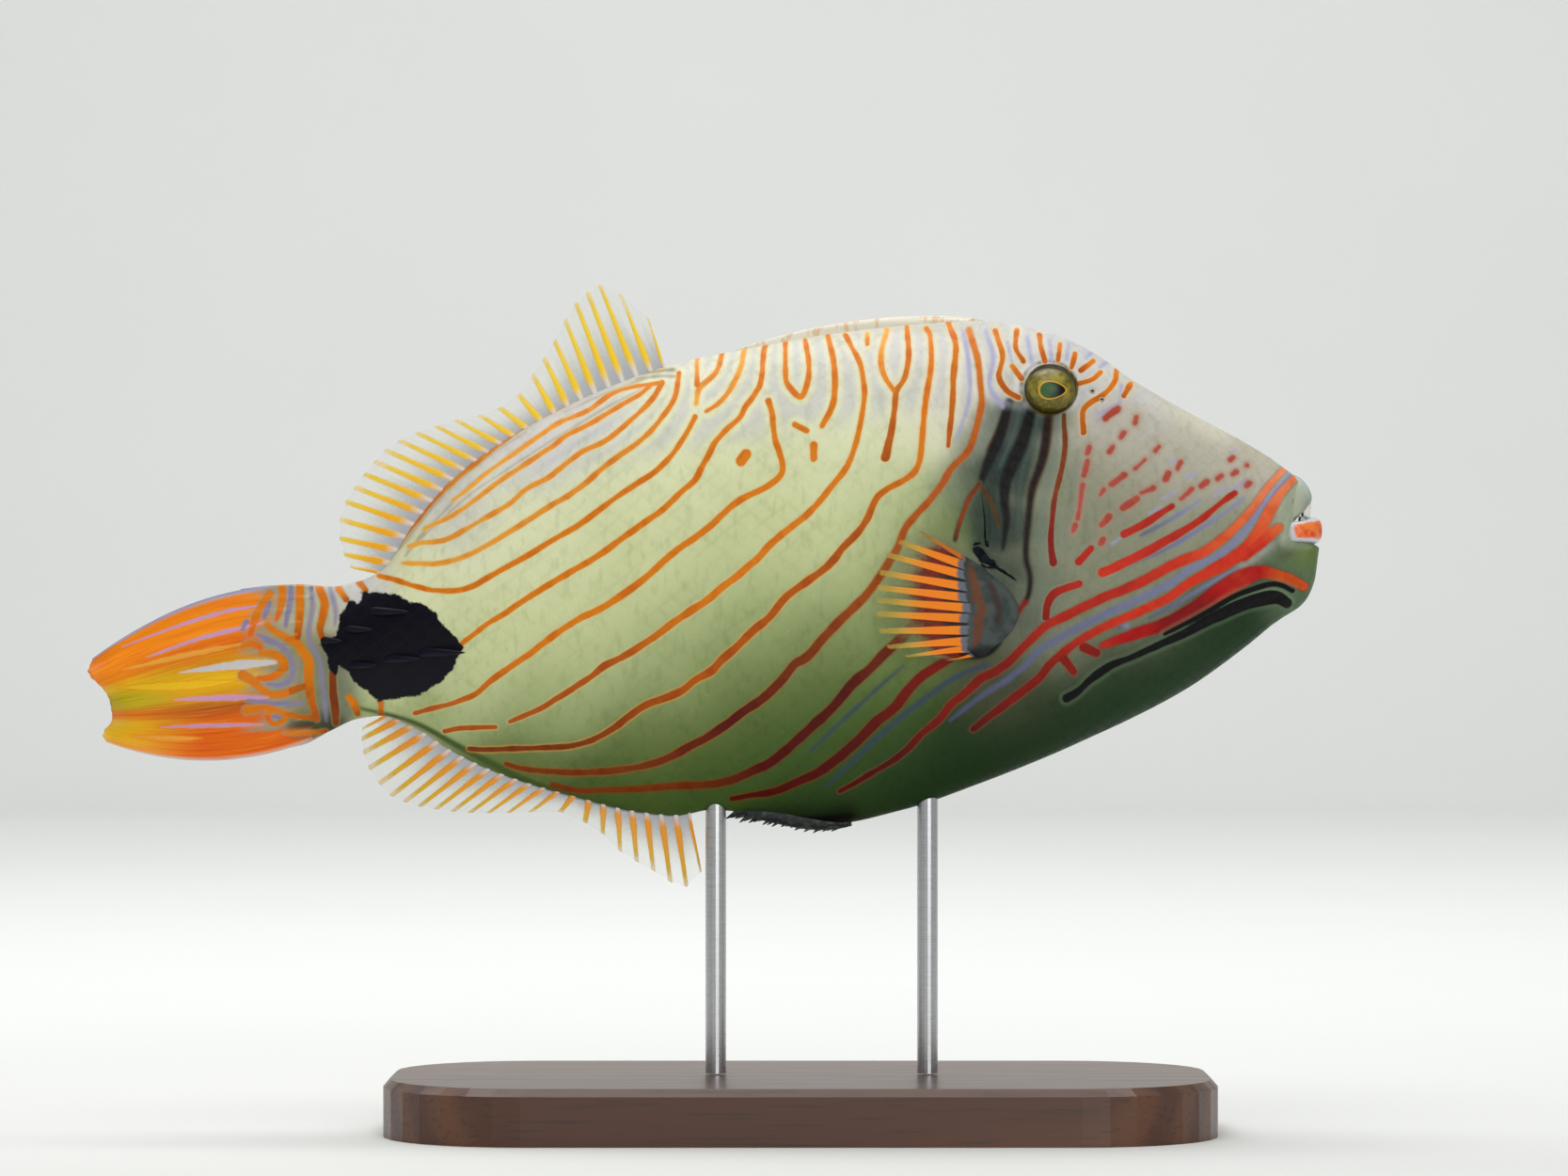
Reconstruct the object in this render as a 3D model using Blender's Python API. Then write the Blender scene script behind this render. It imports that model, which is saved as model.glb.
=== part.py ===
"""Orange-lined triggerfish, a still life-size model on a small display stand.

The fish faces +X, its back is towards +Z, and the origin is the centre of the stand's underside.
Sizes are in millimetres, in the side plane (along, height) unless a name says otherwise, and become
metres when a mesh is made. The fish swims nose up by about 7 degrees, which its profile already holds.
"""

import math

import bmesh
import bpy
import numpy as np

MM = 0.001
GAP = 0.3  # between two pieces that touch
SUNK = 1.5  # how far a root runs into the body before the body's shape is cut from it

# Body: each row is one upright section through the fish, from the tail's root to the snout.
# (along, back, belly, half width, height of the widest point, fullness above, fullness below);
# a fullness of 1 is an ellipse and more is a sharper edge.
BODY_SECTIONS = (
    (-106.0, 116.2, 82.0, 2.6, 99.5, 1.00, 1.00),
    (-100.0, 115.7, 85.0, 4.2, 101.0, 1.00, 1.00),
    (-94.0, 116.8, 87.6, 5.8, 102.5, 1.00, 1.00),
    (-89.0, 119.2, 88.2, 7.2, 103.5, 1.02, 1.05),
    (-82.0, 129.4, 85.6, 8.9, 106.0, 1.15, 1.20),
    (-74.0, 138.6, 80.6, 11.0, 108.5, 1.25, 1.35),
    (-66.0, 144.8, 76.6, 12.8, 110.5, 1.30, 1.45),
    (-50.0, 154.0, 71.2, 15.7, 114.5, 1.30, 1.50),
    (-34.0, 160.8, 67.4, 17.9, 118.0, 1.28, 1.55),
    (-27.0, 163.0, 66.8, 18.6, 119.5, 1.25, 1.55),
    (-19.0, 164.8, 68.2, 19.2, 121.0, 1.20, 1.55),
    (-8.0, 166.9, 67.2, 19.8, 122.5, 1.12, 1.50),
    (6.0, 169.4, 65.2, 20.2, 124.0, 1.05, 1.48),
    (22.0, 171.3, 68.3, 20.3, 126.0, 0.98, 1.42),
    (38.0, 172.2, 73.8, 19.6, 127.5, 0.94, 1.35),
    (54.0, 169.3, 80.2, 17.7, 128.0, 0.90, 1.25),
    (62.0, 165.6, 83.8, 16.4, 128.0, 0.90, 1.20),
    (70.0, 160.0, 87.5, 15.0, 127.5, 0.92, 1.15),
    (82.0, 153.0, 93.9, 12.4, 127.0, 0.95, 1.10),
    (94.0, 146.6, 102.4, 9.4, 127.0, 0.95, 1.02),
    (102.0, 141.7, 109.0, 7.4, 127.0, 0.92, 0.98),
    (106.0, 139.0, 112.2, 6.3, 127.0, 0.90, 0.95),
    (108.4, 136.4, 117.0, 5.1, 127.0, 0.88, 0.92),
    (109.4, 133.0, 121.6, 3.6, 127.0, 0.88, 0.92),
)
SECTION_COUNT = 44
RING_POINTS = 32
CHIN_LEAN = 0.10  # how far the chin stands ahead of the upper jaw, for each mm of height
CHIN_LEAN_FROM = 100.0

# Thin cuts that part the body
GILL_CUT = ((43.0, 171.2), (51.0, 79.4))  # from the nape down in front of the gill slit
TAIL_CUT_ALONG = -68.6

# Gill slit, a short curved cleft above the pectoral fin's root
GILL_SLIT = ((38.2, 136.6), (40.0, 128.0), (42.6, 121.4), (46.4, 117.6))
GILL_SLIT_RADIUS = 0.55

# Eyes
EYE_ALONG, EYE_HEIGHT = 52.5, 156.8
EYE_RADIUS = 6.1
EYE_TALL = 0.92  # its height as a share of its length
EYE_SEAT = 3.3  # from the skin in to the ball's centre
NOSTRILS = ((61.8, 157.0), (63.6, 155.2))
NOSTRIL_RADIUS = 0.75

# Mouth: every piece follows the same half oval in plan, from one corner round the front
MOUTH_CORNER_ALONG = 103.6
MOUTH_FLOOR, MOUTH_ROOF = 124.6, 135.6
MOUTH_HALF_WIDTH = 4.7
UPPER_LIP = {"reach": 3.4, "half_width": 5.1, "front": 136.2, "corner": 132.0, "thick": 1.9, "tall": 2.9}
LOWER_LIP = {"reach": 5.4, "half_width": 5.3, "front": 127.2, "corner": 127.6, "thick": 2.1, "tall": 2.5}
TEETH_IN_JAW = 6
UPPER_TEETH = {"reach": 4.3, "half_width": 4.0, "root": 134.8, "edge": 130.1}
LOWER_TEETH = {"reach": 2.2, "half_width": 2.9, "root": 125.0, "edge": 131.0}
TOOTH_THICKNESS = 1.1

# Fins: (share of the way along the root, ray length, ray angle in degrees from +X)
DORSAL_RAYS = 25
DORSAL_ROOT = (-28.4, -88.8)
DORSAL_FAN = (
    (0.00, 11.0, 111), (0.08, 21.2, 113), (0.17, 19.2, 113), (0.25, 13.7, 117), (0.33, 9.5, 123),
    (0.38, 7.2, 138), (0.43, 7.6, 153), (0.50, 11.1, 157), (0.67, 15.9, 160), (0.83, 15.7, 165),
    (0.92, 13.0, 174), (1.00, 7.0, 178),
)
ANAL_RAYS = 23
ANAL_ROOT = (-23.6, -87.2)
ANAL_FAN = (
    (0.00, 12.5, 282), (0.05, 15.3, 279), (0.14, 11.9, 277), (0.23, 8.6, 273), (0.31, 4.2, 262),
    (0.36, 4.2, 222), (0.41, 7.5, 209), (0.59, 13.6, 213), (0.77, 16.4, 215), (0.86, 14.8, 208),
    (0.95, 10.0, 201), (1.00, 6.3, 200),
)
FIN_WAVE = 2.4  # how far the long fins swing sideways at their tips
MEMBRANE = 0.30  # half thickness between the rays
RAY_RISE = 0.34  # how far a ray stands above the membrane, on each face

CAUDAL_RAYS = 12
CAUDAL_TIP_TOP, CAUDAL_TIP_BOTTOM = 100.4, 82.6
CAUDAL_TIPS = ((0.0, -150.6), (0.15, -151.6), (0.32, -149.0), (0.45, -147.4), (0.72, -146.2),
               (0.9, -148.6), (1.0, -147.4))
CAUDAL_BOW_TOP, CAUDAL_BOW_BOTTOM = 4.8, -4.2
CAUDAL_FOLD = 1.3  # sideways fold of the half-closed fan

PECTORAL_RAYS = 11
PECTORAL_ROOT_TOP, PECTORAL_ROOT_BOTTOM = 119.2, 101.4
PECTORAL_ROOT_ALONG, PECTORAL_ROOT_BULGE = 39.4, 6.4
PECTORAL_TIPS = ((0.0, 25.0, 127.4), (0.15, 19.0, 124.0), (0.35, 16.0, 117.0), (0.6, 15.6, 110.0),
                 (0.82, 18.6, 102.4), (0.93, 24.0, 100.6), (1.0, 31.0, 100.2))
PECTORAL_FLARE = 5.0  # how far the tips stand off the flank
PECTORAL_BASE_SHARE = 0.36

# First dorsal fin, folded down along the back, with its three spines
CREST = (-14.0, 39.0)
CREST_RISE, CREST_HALF_WIDTH = 2.0, 1.5
CREST_SPINES = ((37.0, 33.0, 1.35), (30.0, 22.0, 1.0), (24.0, 14.0, 0.8))  # root, length, radius

# Pelvic flap, the low keel of rough scales under the belly
FLAP = (-14.4, 11.0)
FLAP_DROP, FLAP_HALF_WIDTH = 1.6, 1.7
FLAP_SPINES = 7

# Tail spines, hooked forwards: (tip along, tip height, length)
TAIL_SPINES = ((-82.6, 110.4, 8.6), (-90.4, 106.6, 6.4), (-97.0, 104.2, 4.8),
               (-70.6, 101.8, 10.4), (-80.2, 100.4, 8.2), (-89.6, 99.0, 6.2))
TAIL_SPINE_LIFT = 2.6
TAIL_SPINE_RADIUS = 1.5

# Stand
BASE_LENGTH, BASE_DEPTH, BASE_HEIGHT = 176.0, 84.0, 12.0
BASE_CORNER = 30.0
ROD_RADIUS = 2.2
ROD_PLACES = {"stand_rod_front": 27.0, "stand_rod_rear": -18.0}
ROD_RISE = 4.0  # how far a rod runs past the belly before its saddle is cut

COLOURS = {  # name: (linear colour, roughness)
    "flank": ((0.50, 0.55, 0.33), 0.42),
    "tail_skin": ((0.36, 0.36, 0.30), 0.42),
    "orange_fin": ((0.85, 0.42, 0.05), 0.45),
    "tail_fin": ((0.85, 0.33, 0.03), 0.42),
    "dark_flap": ((0.03, 0.05, 0.05), 0.55),
    "eye": ((0.24, 0.20, 0.05), 0.12),
    "upper_lip": ((0.48, 0.54, 0.44), 0.40),
    "lower_lip": ((0.80, 0.22, 0.08), 0.38),
    "teeth": ((0.85, 0.83, 0.76), 0.25),
    "base_wood": ((0.09, 0.045, 0.022), 0.35),
    "rod_steel": ((0.62, 0.62, 0.63), 0.28),
}
METALS = {"rod_steel": 1.0}


def through(keys, at, column=1):
    """A smooth curve through rows of keys: column against the first number, with no overshoot."""
    xs = np.array([row[0] for row in keys], float)
    ys = np.array([row[column] for row in keys], float)
    step = np.diff(xs)
    slope = np.diff(ys) / step
    bend = np.zeros(len(xs))
    bend[0], bend[-1] = slope[0], slope[-1]
    for i in range(1, len(xs) - 1):
        if slope[i - 1] * slope[i] > 0:
            left, right = 2 * step[i] + step[i - 1], step[i] + 2 * step[i - 1]
            bend[i] = (left + right) / (left / slope[i - 1] + right / slope[i])
    at = np.clip(np.asarray(at, float), xs[0], xs[-1])
    i = np.clip(np.searchsorted(xs, at) - 1, 0, len(step) - 1)
    t = (at - xs[i]) / step[i]
    return (
        ys[i] * (1 + 2 * t) * (1 - t) ** 2
        + bend[i] * step[i] * t * (1 - t) ** 2
        + ys[i + 1] * t * t * (3 - 2 * t)
        + bend[i + 1] * step[i] * t * t * (t - 1)
    )


def back(along):
    return through(BODY_SECTIONS, along, 1)


def belly(along):
    return through(BODY_SECTIONS, along, 2)


def flank(along, height):
    """Half width of the body at a place in the side plane."""
    widest = through(BODY_SECTIONS, along, 4)
    above = np.asarray(height, float) > widest
    reach = np.where(above, back(along) - widest, widest - belly(along))
    share = np.clip(np.abs(height - widest) / reach, 0, 1)
    fullness = np.where(above, through(BODY_SECTIONS, along, 5), through(BODY_SECTIONS, along, 6))
    return through(BODY_SECTIONS, along, 3) * (1 - share**2) ** (fullness / 2)


def material(name):
    found = bpy.data.materials.get(name)
    if found:
        return found
    made = bpy.data.materials.new(name)
    made.use_nodes = True
    shader = made.node_tree.nodes["Principled BSDF"]
    colour, roughness = COLOURS[name]
    shader.inputs["Base Color"].default_value = (*colour, 1)
    shader.inputs["Roughness"].default_value = roughness
    shader.inputs["Metallic"].default_value = METALS.get(name, 0.0)
    return made


def solid(name, points, faces, finish="flank"):
    """A mesh object from points in millimetres."""
    mesh = bpy.data.meshes.new(name)
    mesh.from_pydata([tuple(p) for p in np.asarray(points, float) * MM], [], [tuple(f) for f in faces])
    shape = bmesh.new()
    shape.from_mesh(mesh)
    bmesh.ops.recalc_face_normals(shape, faces=shape.faces)
    shape.to_mesh(mesh)
    shape.free()
    mesh.materials.append(material(finish))
    made = bpy.data.objects.new(name, mesh)
    bpy.context.scene.collection.objects.link(made)
    return made


def lofted(name, rings, finish="flank"):
    """A closed solid through rings of the same number of points, with a fan at each end."""
    count, around = len(rings), len(rings[0])
    points = [p for ring in rings for p in ring]
    faces = []
    for i in range(count - 1):
        for j in range(around):
            k = (j + 1) % around
            a, b, c, d = i * around + j, i * around + k, (i + 1) * around + k, (i + 1) * around + j
            faces += [(a, b, c), (a, c, d)]
    for ring in (0, count - 1):
        centre = len(points)
        points.append(np.mean(rings[ring], axis=0))
        faces += [(ring * around + j, ring * around + (j + 1) % around, centre) for j in range(around)]
    return solid(name, points, faces, finish)


def sheet(name, near, far, finish="flank"):
    """A closed solid between two grids of points, split into triangles alike on both faces."""
    rows, columns = near.shape[:2]
    points = list(near.reshape(-1, 3)) + list(far.reshape(-1, 3))
    other = rows * columns
    faces = []
    for i in range(rows - 1):
        for j in range(columns - 1):
            a, b = i * columns + j, i * columns + j + 1
            c, d = b + columns, a + columns
            faces += [(a, b, c), (a, c, d), (other + a, other + c, other + b), (other + a, other + d, other + c)]
    rim = [(0, j) for j in range(columns)] + [(i, columns - 1) for i in range(1, rows)]
    rim += [(rows - 1, j) for j in range(columns - 2, -1, -1)] + [(i, 0) for i in range(rows - 2, 0, -1)]
    edge = [i * columns + j for i, j in rim]
    for a, b in zip(edge, edge[1:] + edge[:1]):
        faces += [(b, a, other + a), (b, other + a, other + b)]
    return solid(name, points, faces, finish)


def spine(name, root, tip, radius, bow=(0, 0, 0), sides=6, rings=4, finish="flank"):
    """A tapered, slightly bent spine with a blunt point."""
    root, tip, bow = (np.asarray(p, float) for p in (root, tip, bow))
    lie = (tip - root) / np.linalg.norm(tip - root)
    across = np.cross(lie, (0.31, 0.17, 0.93))
    across /= np.linalg.norm(across)
    other = np.cross(lie, across)
    made = []
    for i in range(rings):
        share = i / (rings - 1)
        centre = root + (tip - root) * share + bow * 4 * share * (1 - share)
        size = radius * (1 - share) ** 0.75 + 0.16
        made.append([
            centre + size * (across * math.cos(a) + other * math.sin(a))
            for a in np.arange(sides) * 2 * math.pi / sides
        ])
    return lofted(name, made, finish)


def ball(name, centre, radii, finish="flank", around=18, rings=11):
    made = []
    for i in range(1, rings):
        a = math.pi * i / rings
        made.append([
            np.asarray(centre) + np.array(radii) * (math.sin(a) * math.cos(b), math.sin(a) * math.sin(b), math.cos(a))
            for b in np.arange(around) * 2 * math.pi / around
        ])
    top, bottom = np.asarray(centre) + (0, 0, radii[2]), np.asarray(centre) - (0, 0, radii[2])
    points = [p for ring in made for p in ring]
    faces = []
    for i in range(rings - 2):
        for j in range(around):
            k = (j + 1) % around
            a, b = i * around + j, i * around + k
            faces += [(a, b, b + around), (a, b + around, a + around)]
    for ring, pole in ((0, top), (rings - 2, bottom)):
        points.append(pole)
        faces += [(ring * around + j, ring * around + (j + 1) % around, len(points) - 1) for j in range(around)]
    return solid(name, points, faces, finish)


def applied(owner):
    """Writes the evaluated mesh into the object and clears its modifiers."""
    bpy.context.view_layer.update()
    graph = bpy.context.evaluated_depsgraph_get()
    mesh = bpy.data.meshes.new_from_object(owner.evaluated_get(graph))
    owner.modifiers.clear()
    old = owner.data
    owner.data = mesh
    bpy.data.meshes.remove(old)
    return owner


def keep_largest(owner):
    """Leaves only the largest closed surface of a mesh."""
    shape = bmesh.new()
    shape.from_mesh(owner.data)
    left, parts = set(shape.verts), []
    while left:
        queue, part = [left.pop()], []
        while queue:
            vert = queue.pop()
            part.append(vert)
            for edge in vert.link_edges:
                other = edge.other_vert(vert)
                if other in left:
                    left.remove(other)
                    queue.append(other)
        parts.append(part)

    def spread(part):
        places = np.array([v.co for v in part])
        return np.prod(places.max(0) - places.min(0))

    parts.sort(key=spread)
    bmesh.ops.delete(shape, geom=[v for part in parts[:-1] for v in part], context="VERTS")
    shape.to_mesh(owner.data)
    shape.free()
    return owner


def combined(owner, others, operation):
    """Joins or cuts a node with other closed meshes, applies it and removes them."""
    group = bpy.data.collections.new("tools")
    bpy.context.scene.collection.children.link(group)
    for other in others:
        group.objects.link(other)
    step = owner.modifiers.new(operation.lower(), "BOOLEAN")
    step.operation, step.solver = operation, "EXACT"
    step.operand_type, step.collection = "COLLECTION", group
    applied(owner)
    for other in list(group.objects):
        bpy.data.objects.remove(other)
    bpy.data.collections.remove(group)
    return keep_largest(owner)


def cut_plane(owner, point, normal):
    """Keeps the side of a closed mesh that the normal points away from, and closes it."""
    shape = bmesh.new()
    shape.from_mesh(owner.data)
    everything = shape.verts[:] + shape.edges[:] + shape.faces[:]
    cut = bmesh.ops.bisect_plane(
        shape, geom=everything, plane_co=np.array(point) * MM, plane_no=normal, clear_outer=True, dist=1e-7
    )
    edges = [e for e in cut["geom_cut"] if isinstance(e, bmesh.types.BMEdge)]
    bmesh.ops.contextual_create(shape, geom=edges)
    bmesh.ops.triangulate(shape, faces=shape.faces[:])
    bmesh.ops.recalc_face_normals(shape, faces=shape.faces)
    shape.to_mesh(owner.data)
    shape.free()
    return owner


def body_shape(name, swell=0.0):
    """The whole body with no fins. A swollen copy cuts the seats of what grows on it."""
    start, end = BODY_SECTIONS[0][0], BODY_SECTIONS[-1][0]
    share = np.linspace(0, 1, SECTION_COUNT)
    closer = share + 0.045 * np.sin(2 * math.pi * share) / math.pi  # more sections near both ends
    rings = []
    for along in start + (end - start) * closer:
        top, low, wide, widest, above, below = (through(BODY_SECTIONS, along, c) for c in range(1, 7))
        ring = []
        for angle in np.arange(RING_POINTS) * 2 * math.pi / RING_POINTS:
            up, out = math.cos(angle), math.sin(angle)
            height = widest + up * ((top - widest if up > 0 else widest - low) + swell)
            across = math.copysign(abs(out) ** (above if up > 0 else below), out) * (wide + swell)
            lean = CHIN_LEAN * (127.0 - height) * max(0.0, along - CHIN_LEAN_FROM) / (end - CHIN_LEAN_FROM)
            ring.append((along + lean, across, height))
        rings.append(ring)
    if swell:
        rings[0] = [(x - swell, y, z) for x, y, z in rings[0]]
        rings[-1] = [(x + swell, y, z) for x, y, z in rings[-1]]
    return lofted(name, rings)


def seated(owner):
    """Cuts the swollen body from a piece, so that its root follows the skin with a thin gap."""
    return combined(owner, [body_shape("seat", GAP)], "DIFFERENCE")


def rooted_rays(root_ends, fan, count, edge, side):
    """Root and tip of every ray of a fin that stands on the back or the belly."""
    along = np.linspace(*root_ends, 200)
    height = edge(along)
    run = np.concatenate([[0], np.cumsum(np.hypot(np.diff(along), np.diff(height)))])
    share = np.linspace(0, 1, count)
    roots_along = np.interp(share * run[-1], run, along)
    roots_height = edge(roots_along)
    length, angle = through(fan, share, 1), np.radians(through(fan, share, 2))
    roots = np.stack([roots_along, roots_height - side * SUNK], axis=1)
    tips = np.stack([roots_along + length * np.cos(angle), roots_height + length * np.sin(angle)], axis=1)
    return roots, tips


def ray_columns(count, per_ray=3):
    """Places across a fin in ray numbers, and how much of a ray's ridge stands at each."""
    places = np.linspace(0, count - 1, (count - 1) * per_ray + 1)
    from_ray = np.abs(places - np.round(places))
    ridge = np.clip(1 - from_ray / 0.26, 0, 1) ** 0.6
    return places, ridge


def between(values, places):
    numbers = np.arange(len(values))
    return np.stack([np.interp(places, numbers, values[:, c]) for c in range(values.shape[1])], axis=1)


def rayed_fin(name, roots, tips, sideways, finish, rows=6, root_swell=0.5, scallop=0.09, bow=None, fleshy=None):
    """A thin membrane with raised rays. sideways(share along the root, share out) gives its Y."""
    places, ridge = ray_columns(len(roots))
    root, tip = between(roots, places), between(tips, places)
    share = places / (len(roots) - 1)
    near, far = [], []
    for out in np.linspace(0, 1, rows):
        reach = out * (1 - scallop * (1 - ridge))
        flat = root + (tip - root) * reach[:, None]
        if bow is not None:
            flat[:, 1] += bow(share) * 4 * reach * (1 - reach)
        taper = 1 - 0.55 * out
        half = MEMBRANE + RAY_RISE * ridge * taper + root_swell * (1 - out) ** 3
        if fleshy is not None:
            half = half + fleshy(share, out)
        middle = sideways(share, out, flat)
        near.append(np.stack([flat[:, 0], middle - half, flat[:, 1]], axis=1))
        far.append(np.stack([flat[:, 0], middle + half, flat[:, 1]], axis=1))
    return sheet(name, np.array(near), np.array(far), finish)


def soft_dorsal_fin():
    roots, tips = rooted_rays(DORSAL_ROOT, DORSAL_FAN, DORSAL_RAYS, back, 1)

    def sideways(share, out, flat):
        return FIN_WAVE * out * np.sin(2 * math.pi * (1.15 * share + 0.1))

    return seated(rayed_fin("soft_dorsal_fin", roots, tips, sideways, "orange_fin"))


def anal_fin():
    roots, tips = rooted_rays(ANAL_ROOT, ANAL_FAN, ANAL_RAYS, belly, -1)

    def sideways(share, out, flat):
        return FIN_WAVE * out * np.sin(2 * math.pi * (1.15 * share + 0.35))

    return seated(rayed_fin("anal_fin", roots, tips, sideways, "orange_fin"))


def caudal_fin():
    top, low = BODY_SECTIONS[0][1], BODY_SECTIONS[0][2]
    share = np.linspace(0, 1, CAUDAL_RAYS)
    start = BODY_SECTIONS[0][0] - GAP
    roots = np.stack([np.full(CAUDAL_RAYS, start), top + (low - top) * share], axis=1)
    tip_height = CAUDAL_TIP_TOP + (CAUDAL_TIP_BOTTOM - CAUDAL_TIP_TOP) * share
    tips = np.stack([through(CAUDAL_TIPS, share), tip_height], axis=1)

    def sideways(share, out, flat):
        return CAUDAL_FOLD * out * np.sin(2 * math.pi * (2.5 * share + 0.12))

    def bow(share):
        return CAUDAL_BOW_TOP + (CAUDAL_BOW_BOTTOM - CAUDAL_BOW_TOP) * share

    def fleshy(share, out):
        return 1.7 * np.sqrt(np.clip(1 - (2 * share - 1) ** 2, 0, 1)) * (1 - out) ** 2.2

    return rayed_fin(
        "caudal_fin", roots, tips, sideways, "tail_fin", rows=9, root_swell=0.1, scallop=0.03, bow=bow, fleshy=fleshy
    )


def pectoral_fin(name, side):
    share = np.linspace(0, 1, PECTORAL_RAYS)
    root_along = PECTORAL_ROOT_ALONG + PECTORAL_ROOT_BULGE * np.sin(math.pi * share)
    root_height = PECTORAL_ROOT_TOP + (PECTORAL_ROOT_BOTTOM - PECTORAL_ROOT_TOP) * share
    roots = np.stack([root_along, root_height], axis=1)
    tips = np.stack([through(PECTORAL_TIPS, share, 1), through(PECTORAL_TIPS, share, 2)], axis=1)

    def sideways(share, out, flat):
        off = -SUNK + (SUNK + PECTORAL_FLARE) * out**0.8
        return side * (flank(flat[:, 0], flat[:, 1]) + off)

    def fleshy(share, out):
        lobe = np.clip(1 - out / PECTORAL_BASE_SHARE, 0, 1) ** 0.7
        return 0.9 * lobe * np.sin(math.pi * np.clip(share, 0.06, 0.94))

    made = rayed_fin(name, roots, tips, sideways, "orange_fin", rows=7, root_swell=0.3, scallop=0.07, fleshy=fleshy)
    return seated(made)


def ridge_strip(name, ends, edge, side, rise, half_width, finish):
    """A low lens-shaped ridge that follows the back or the belly."""
    rings = []
    for share in np.linspace(0.01, 0.99, 22):
        along = ends[0] + (ends[1] - ends[0]) * share
        swell = math.sin(math.pi * share) ** 0.7
        centre = float(edge(along)) - side * SUNK
        rings.append([
            (along, half_width * swell * math.sin(a), centre + side * (SUNK + rise * swell) * math.cos(a))
            for a in np.arange(10) * 2 * math.pi / 10
        ])
    return lofted(name, rings, finish)


def first_dorsal_fin():
    crest = ridge_strip("first_dorsal_fin", CREST, back, 1, CREST_RISE, CREST_HALF_WIDTH, "flank")
    spines = []
    for number, (root, length, radius) in enumerate(CREST_SPINES):
        end = root - length
        start = (root, 0, float(back(root)) - 1.0)
        stop = (end, 0, float(back(end)) + 1.5 - 0.3 * number)
        spines.append(spine(f"crest_spine_{number}", start, stop, radius, bow=(0, 0, 0.9), sides=8, rings=7))
    return seated(combined(crest, spines, "UNION"))


def pelvic_flap():
    keel = ridge_strip("pelvic_flap", FLAP, belly, -1, FLAP_DROP, FLAP_HALF_WIDTH, "dark_flap")
    spines = []
    for number in range(FLAP_SPINES):
        share = (number + 0.7) / FLAP_SPINES
        along = FLAP[0] + (FLAP[1] - FLAP[0]) * share
        low = float(belly(along))
        side = 0.7 if number % 2 else -0.7
        start, stop = (along, 0.3 * side, low - 0.3), (along - 2.6, 1.6 * side, low - 1.9)
        spines.append(spine(f"flap_spine_{number}", start, stop, 0.7, rings=3, finish="dark_flap"))
    return seated(combined(keel, spines, "UNION"))


def mouth_arc(reach, half_width, angle):
    """A point of the mouth's half oval in plan: 0 is the front, a quarter turn is a corner."""
    return MOUTH_CORNER_ALONG + reach * math.cos(angle), half_width * math.sin(angle)


def lip(name, size, finish, swell=0.0):
    rings = []
    for angle in np.radians(np.linspace(-92, 92, 17)):
        along, across = mouth_arc(size["reach"], size["half_width"], angle)
        bend = math.sin(angle) ** 2
        height = size["front"] + (size["corner"] - size["front"]) * bend
        thick = size["thick"] * (1 - 0.45 * bend) + swell
        tall = size["tall"] * (1 - 0.5 * bend) + swell
        out = (math.cos(angle), math.sin(angle))
        rings.append([
            (along + out[0] * thick * math.cos(b), across + out[1] * thick * math.cos(b), height + tall * math.sin(b))
            for b in np.arange(10) * 2 * math.pi / 10
        ])
    return lofted(name, rings, finish)


def teeth(name, size):
    """A jaw's close row of chisel teeth on one arch, with notches between them."""
    per_tooth = 4
    numbers = np.arange(TEETH_IN_JAW * per_tooth + 1) / per_tooth
    angles = np.radians(-66 + 132 * numbers / TEETH_IN_JAW)
    notch = 1 - np.abs(np.sin(math.pi * numbers)) ** 0.35
    near, far = [], []
    for down in np.linspace(0, 1, 3):
        height = size["root"] + (size["edge"] - size["root"]) * down * (1 - 0.45 * notch)
        half = 0.5 * TOOTH_THICKNESS * (1 - 0.45 * down) * (1 - 0.5 * notch * down)
        inner = [mouth_arc(size["reach"] - h, size["half_width"] - h, a) for h, a in zip(half, angles)]
        outer = [mouth_arc(size["reach"] + h, size["half_width"] + h, a) for h, a in zip(half, angles)]
        near.append([(*p, z) for p, z in zip(inner, height)])
        far.append([(*p, z) for p, z in zip(outer, height)])
    made = sheet(name, np.array(near), np.array(far), "teeth")
    seats = [lip("upper_seat", UPPER_LIP, "teeth", GAP), lip("lower_seat", LOWER_LIP, "teeth", GAP)]
    return combined(made, seats, "DIFFERENCE")


def mouth_recess():
    """The hollow that holds both rows of teeth, open at the front."""
    outline = [mouth_arc(9.0, MOUTH_HALF_WIDTH, a) for a in np.radians(np.linspace(-90, 90, 15))]
    return lofted("mouth_recess", [[(x, y, z) for x, y in outline] for z in (MOUTH_FLOOR, MOUTH_ROOF)])


def eye_centre(side):
    return np.array([EYE_ALONG, side * (float(flank(EYE_ALONG, EYE_HEIGHT)) - EYE_SEAT), EYE_HEIGHT])


def eye(name, side, swell=0.0):
    radius = EYE_RADIUS + swell
    return ball(name, eye_centre(side), (radius, radius, EYE_RADIUS * EYE_TALL + swell), "eye")


def nostrils():
    made = []
    for side in (-1, 1):
        for number, (along, height) in enumerate(NOSTRILS):
            place = (along, side * float(flank(along, height)), height)
            radii = (NOSTRIL_RADIUS, 1.2, NOSTRIL_RADIUS)
            made.append(ball(f"nostril_{side}_{number}", place, radii, around=7, rings=5))
    return made


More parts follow.
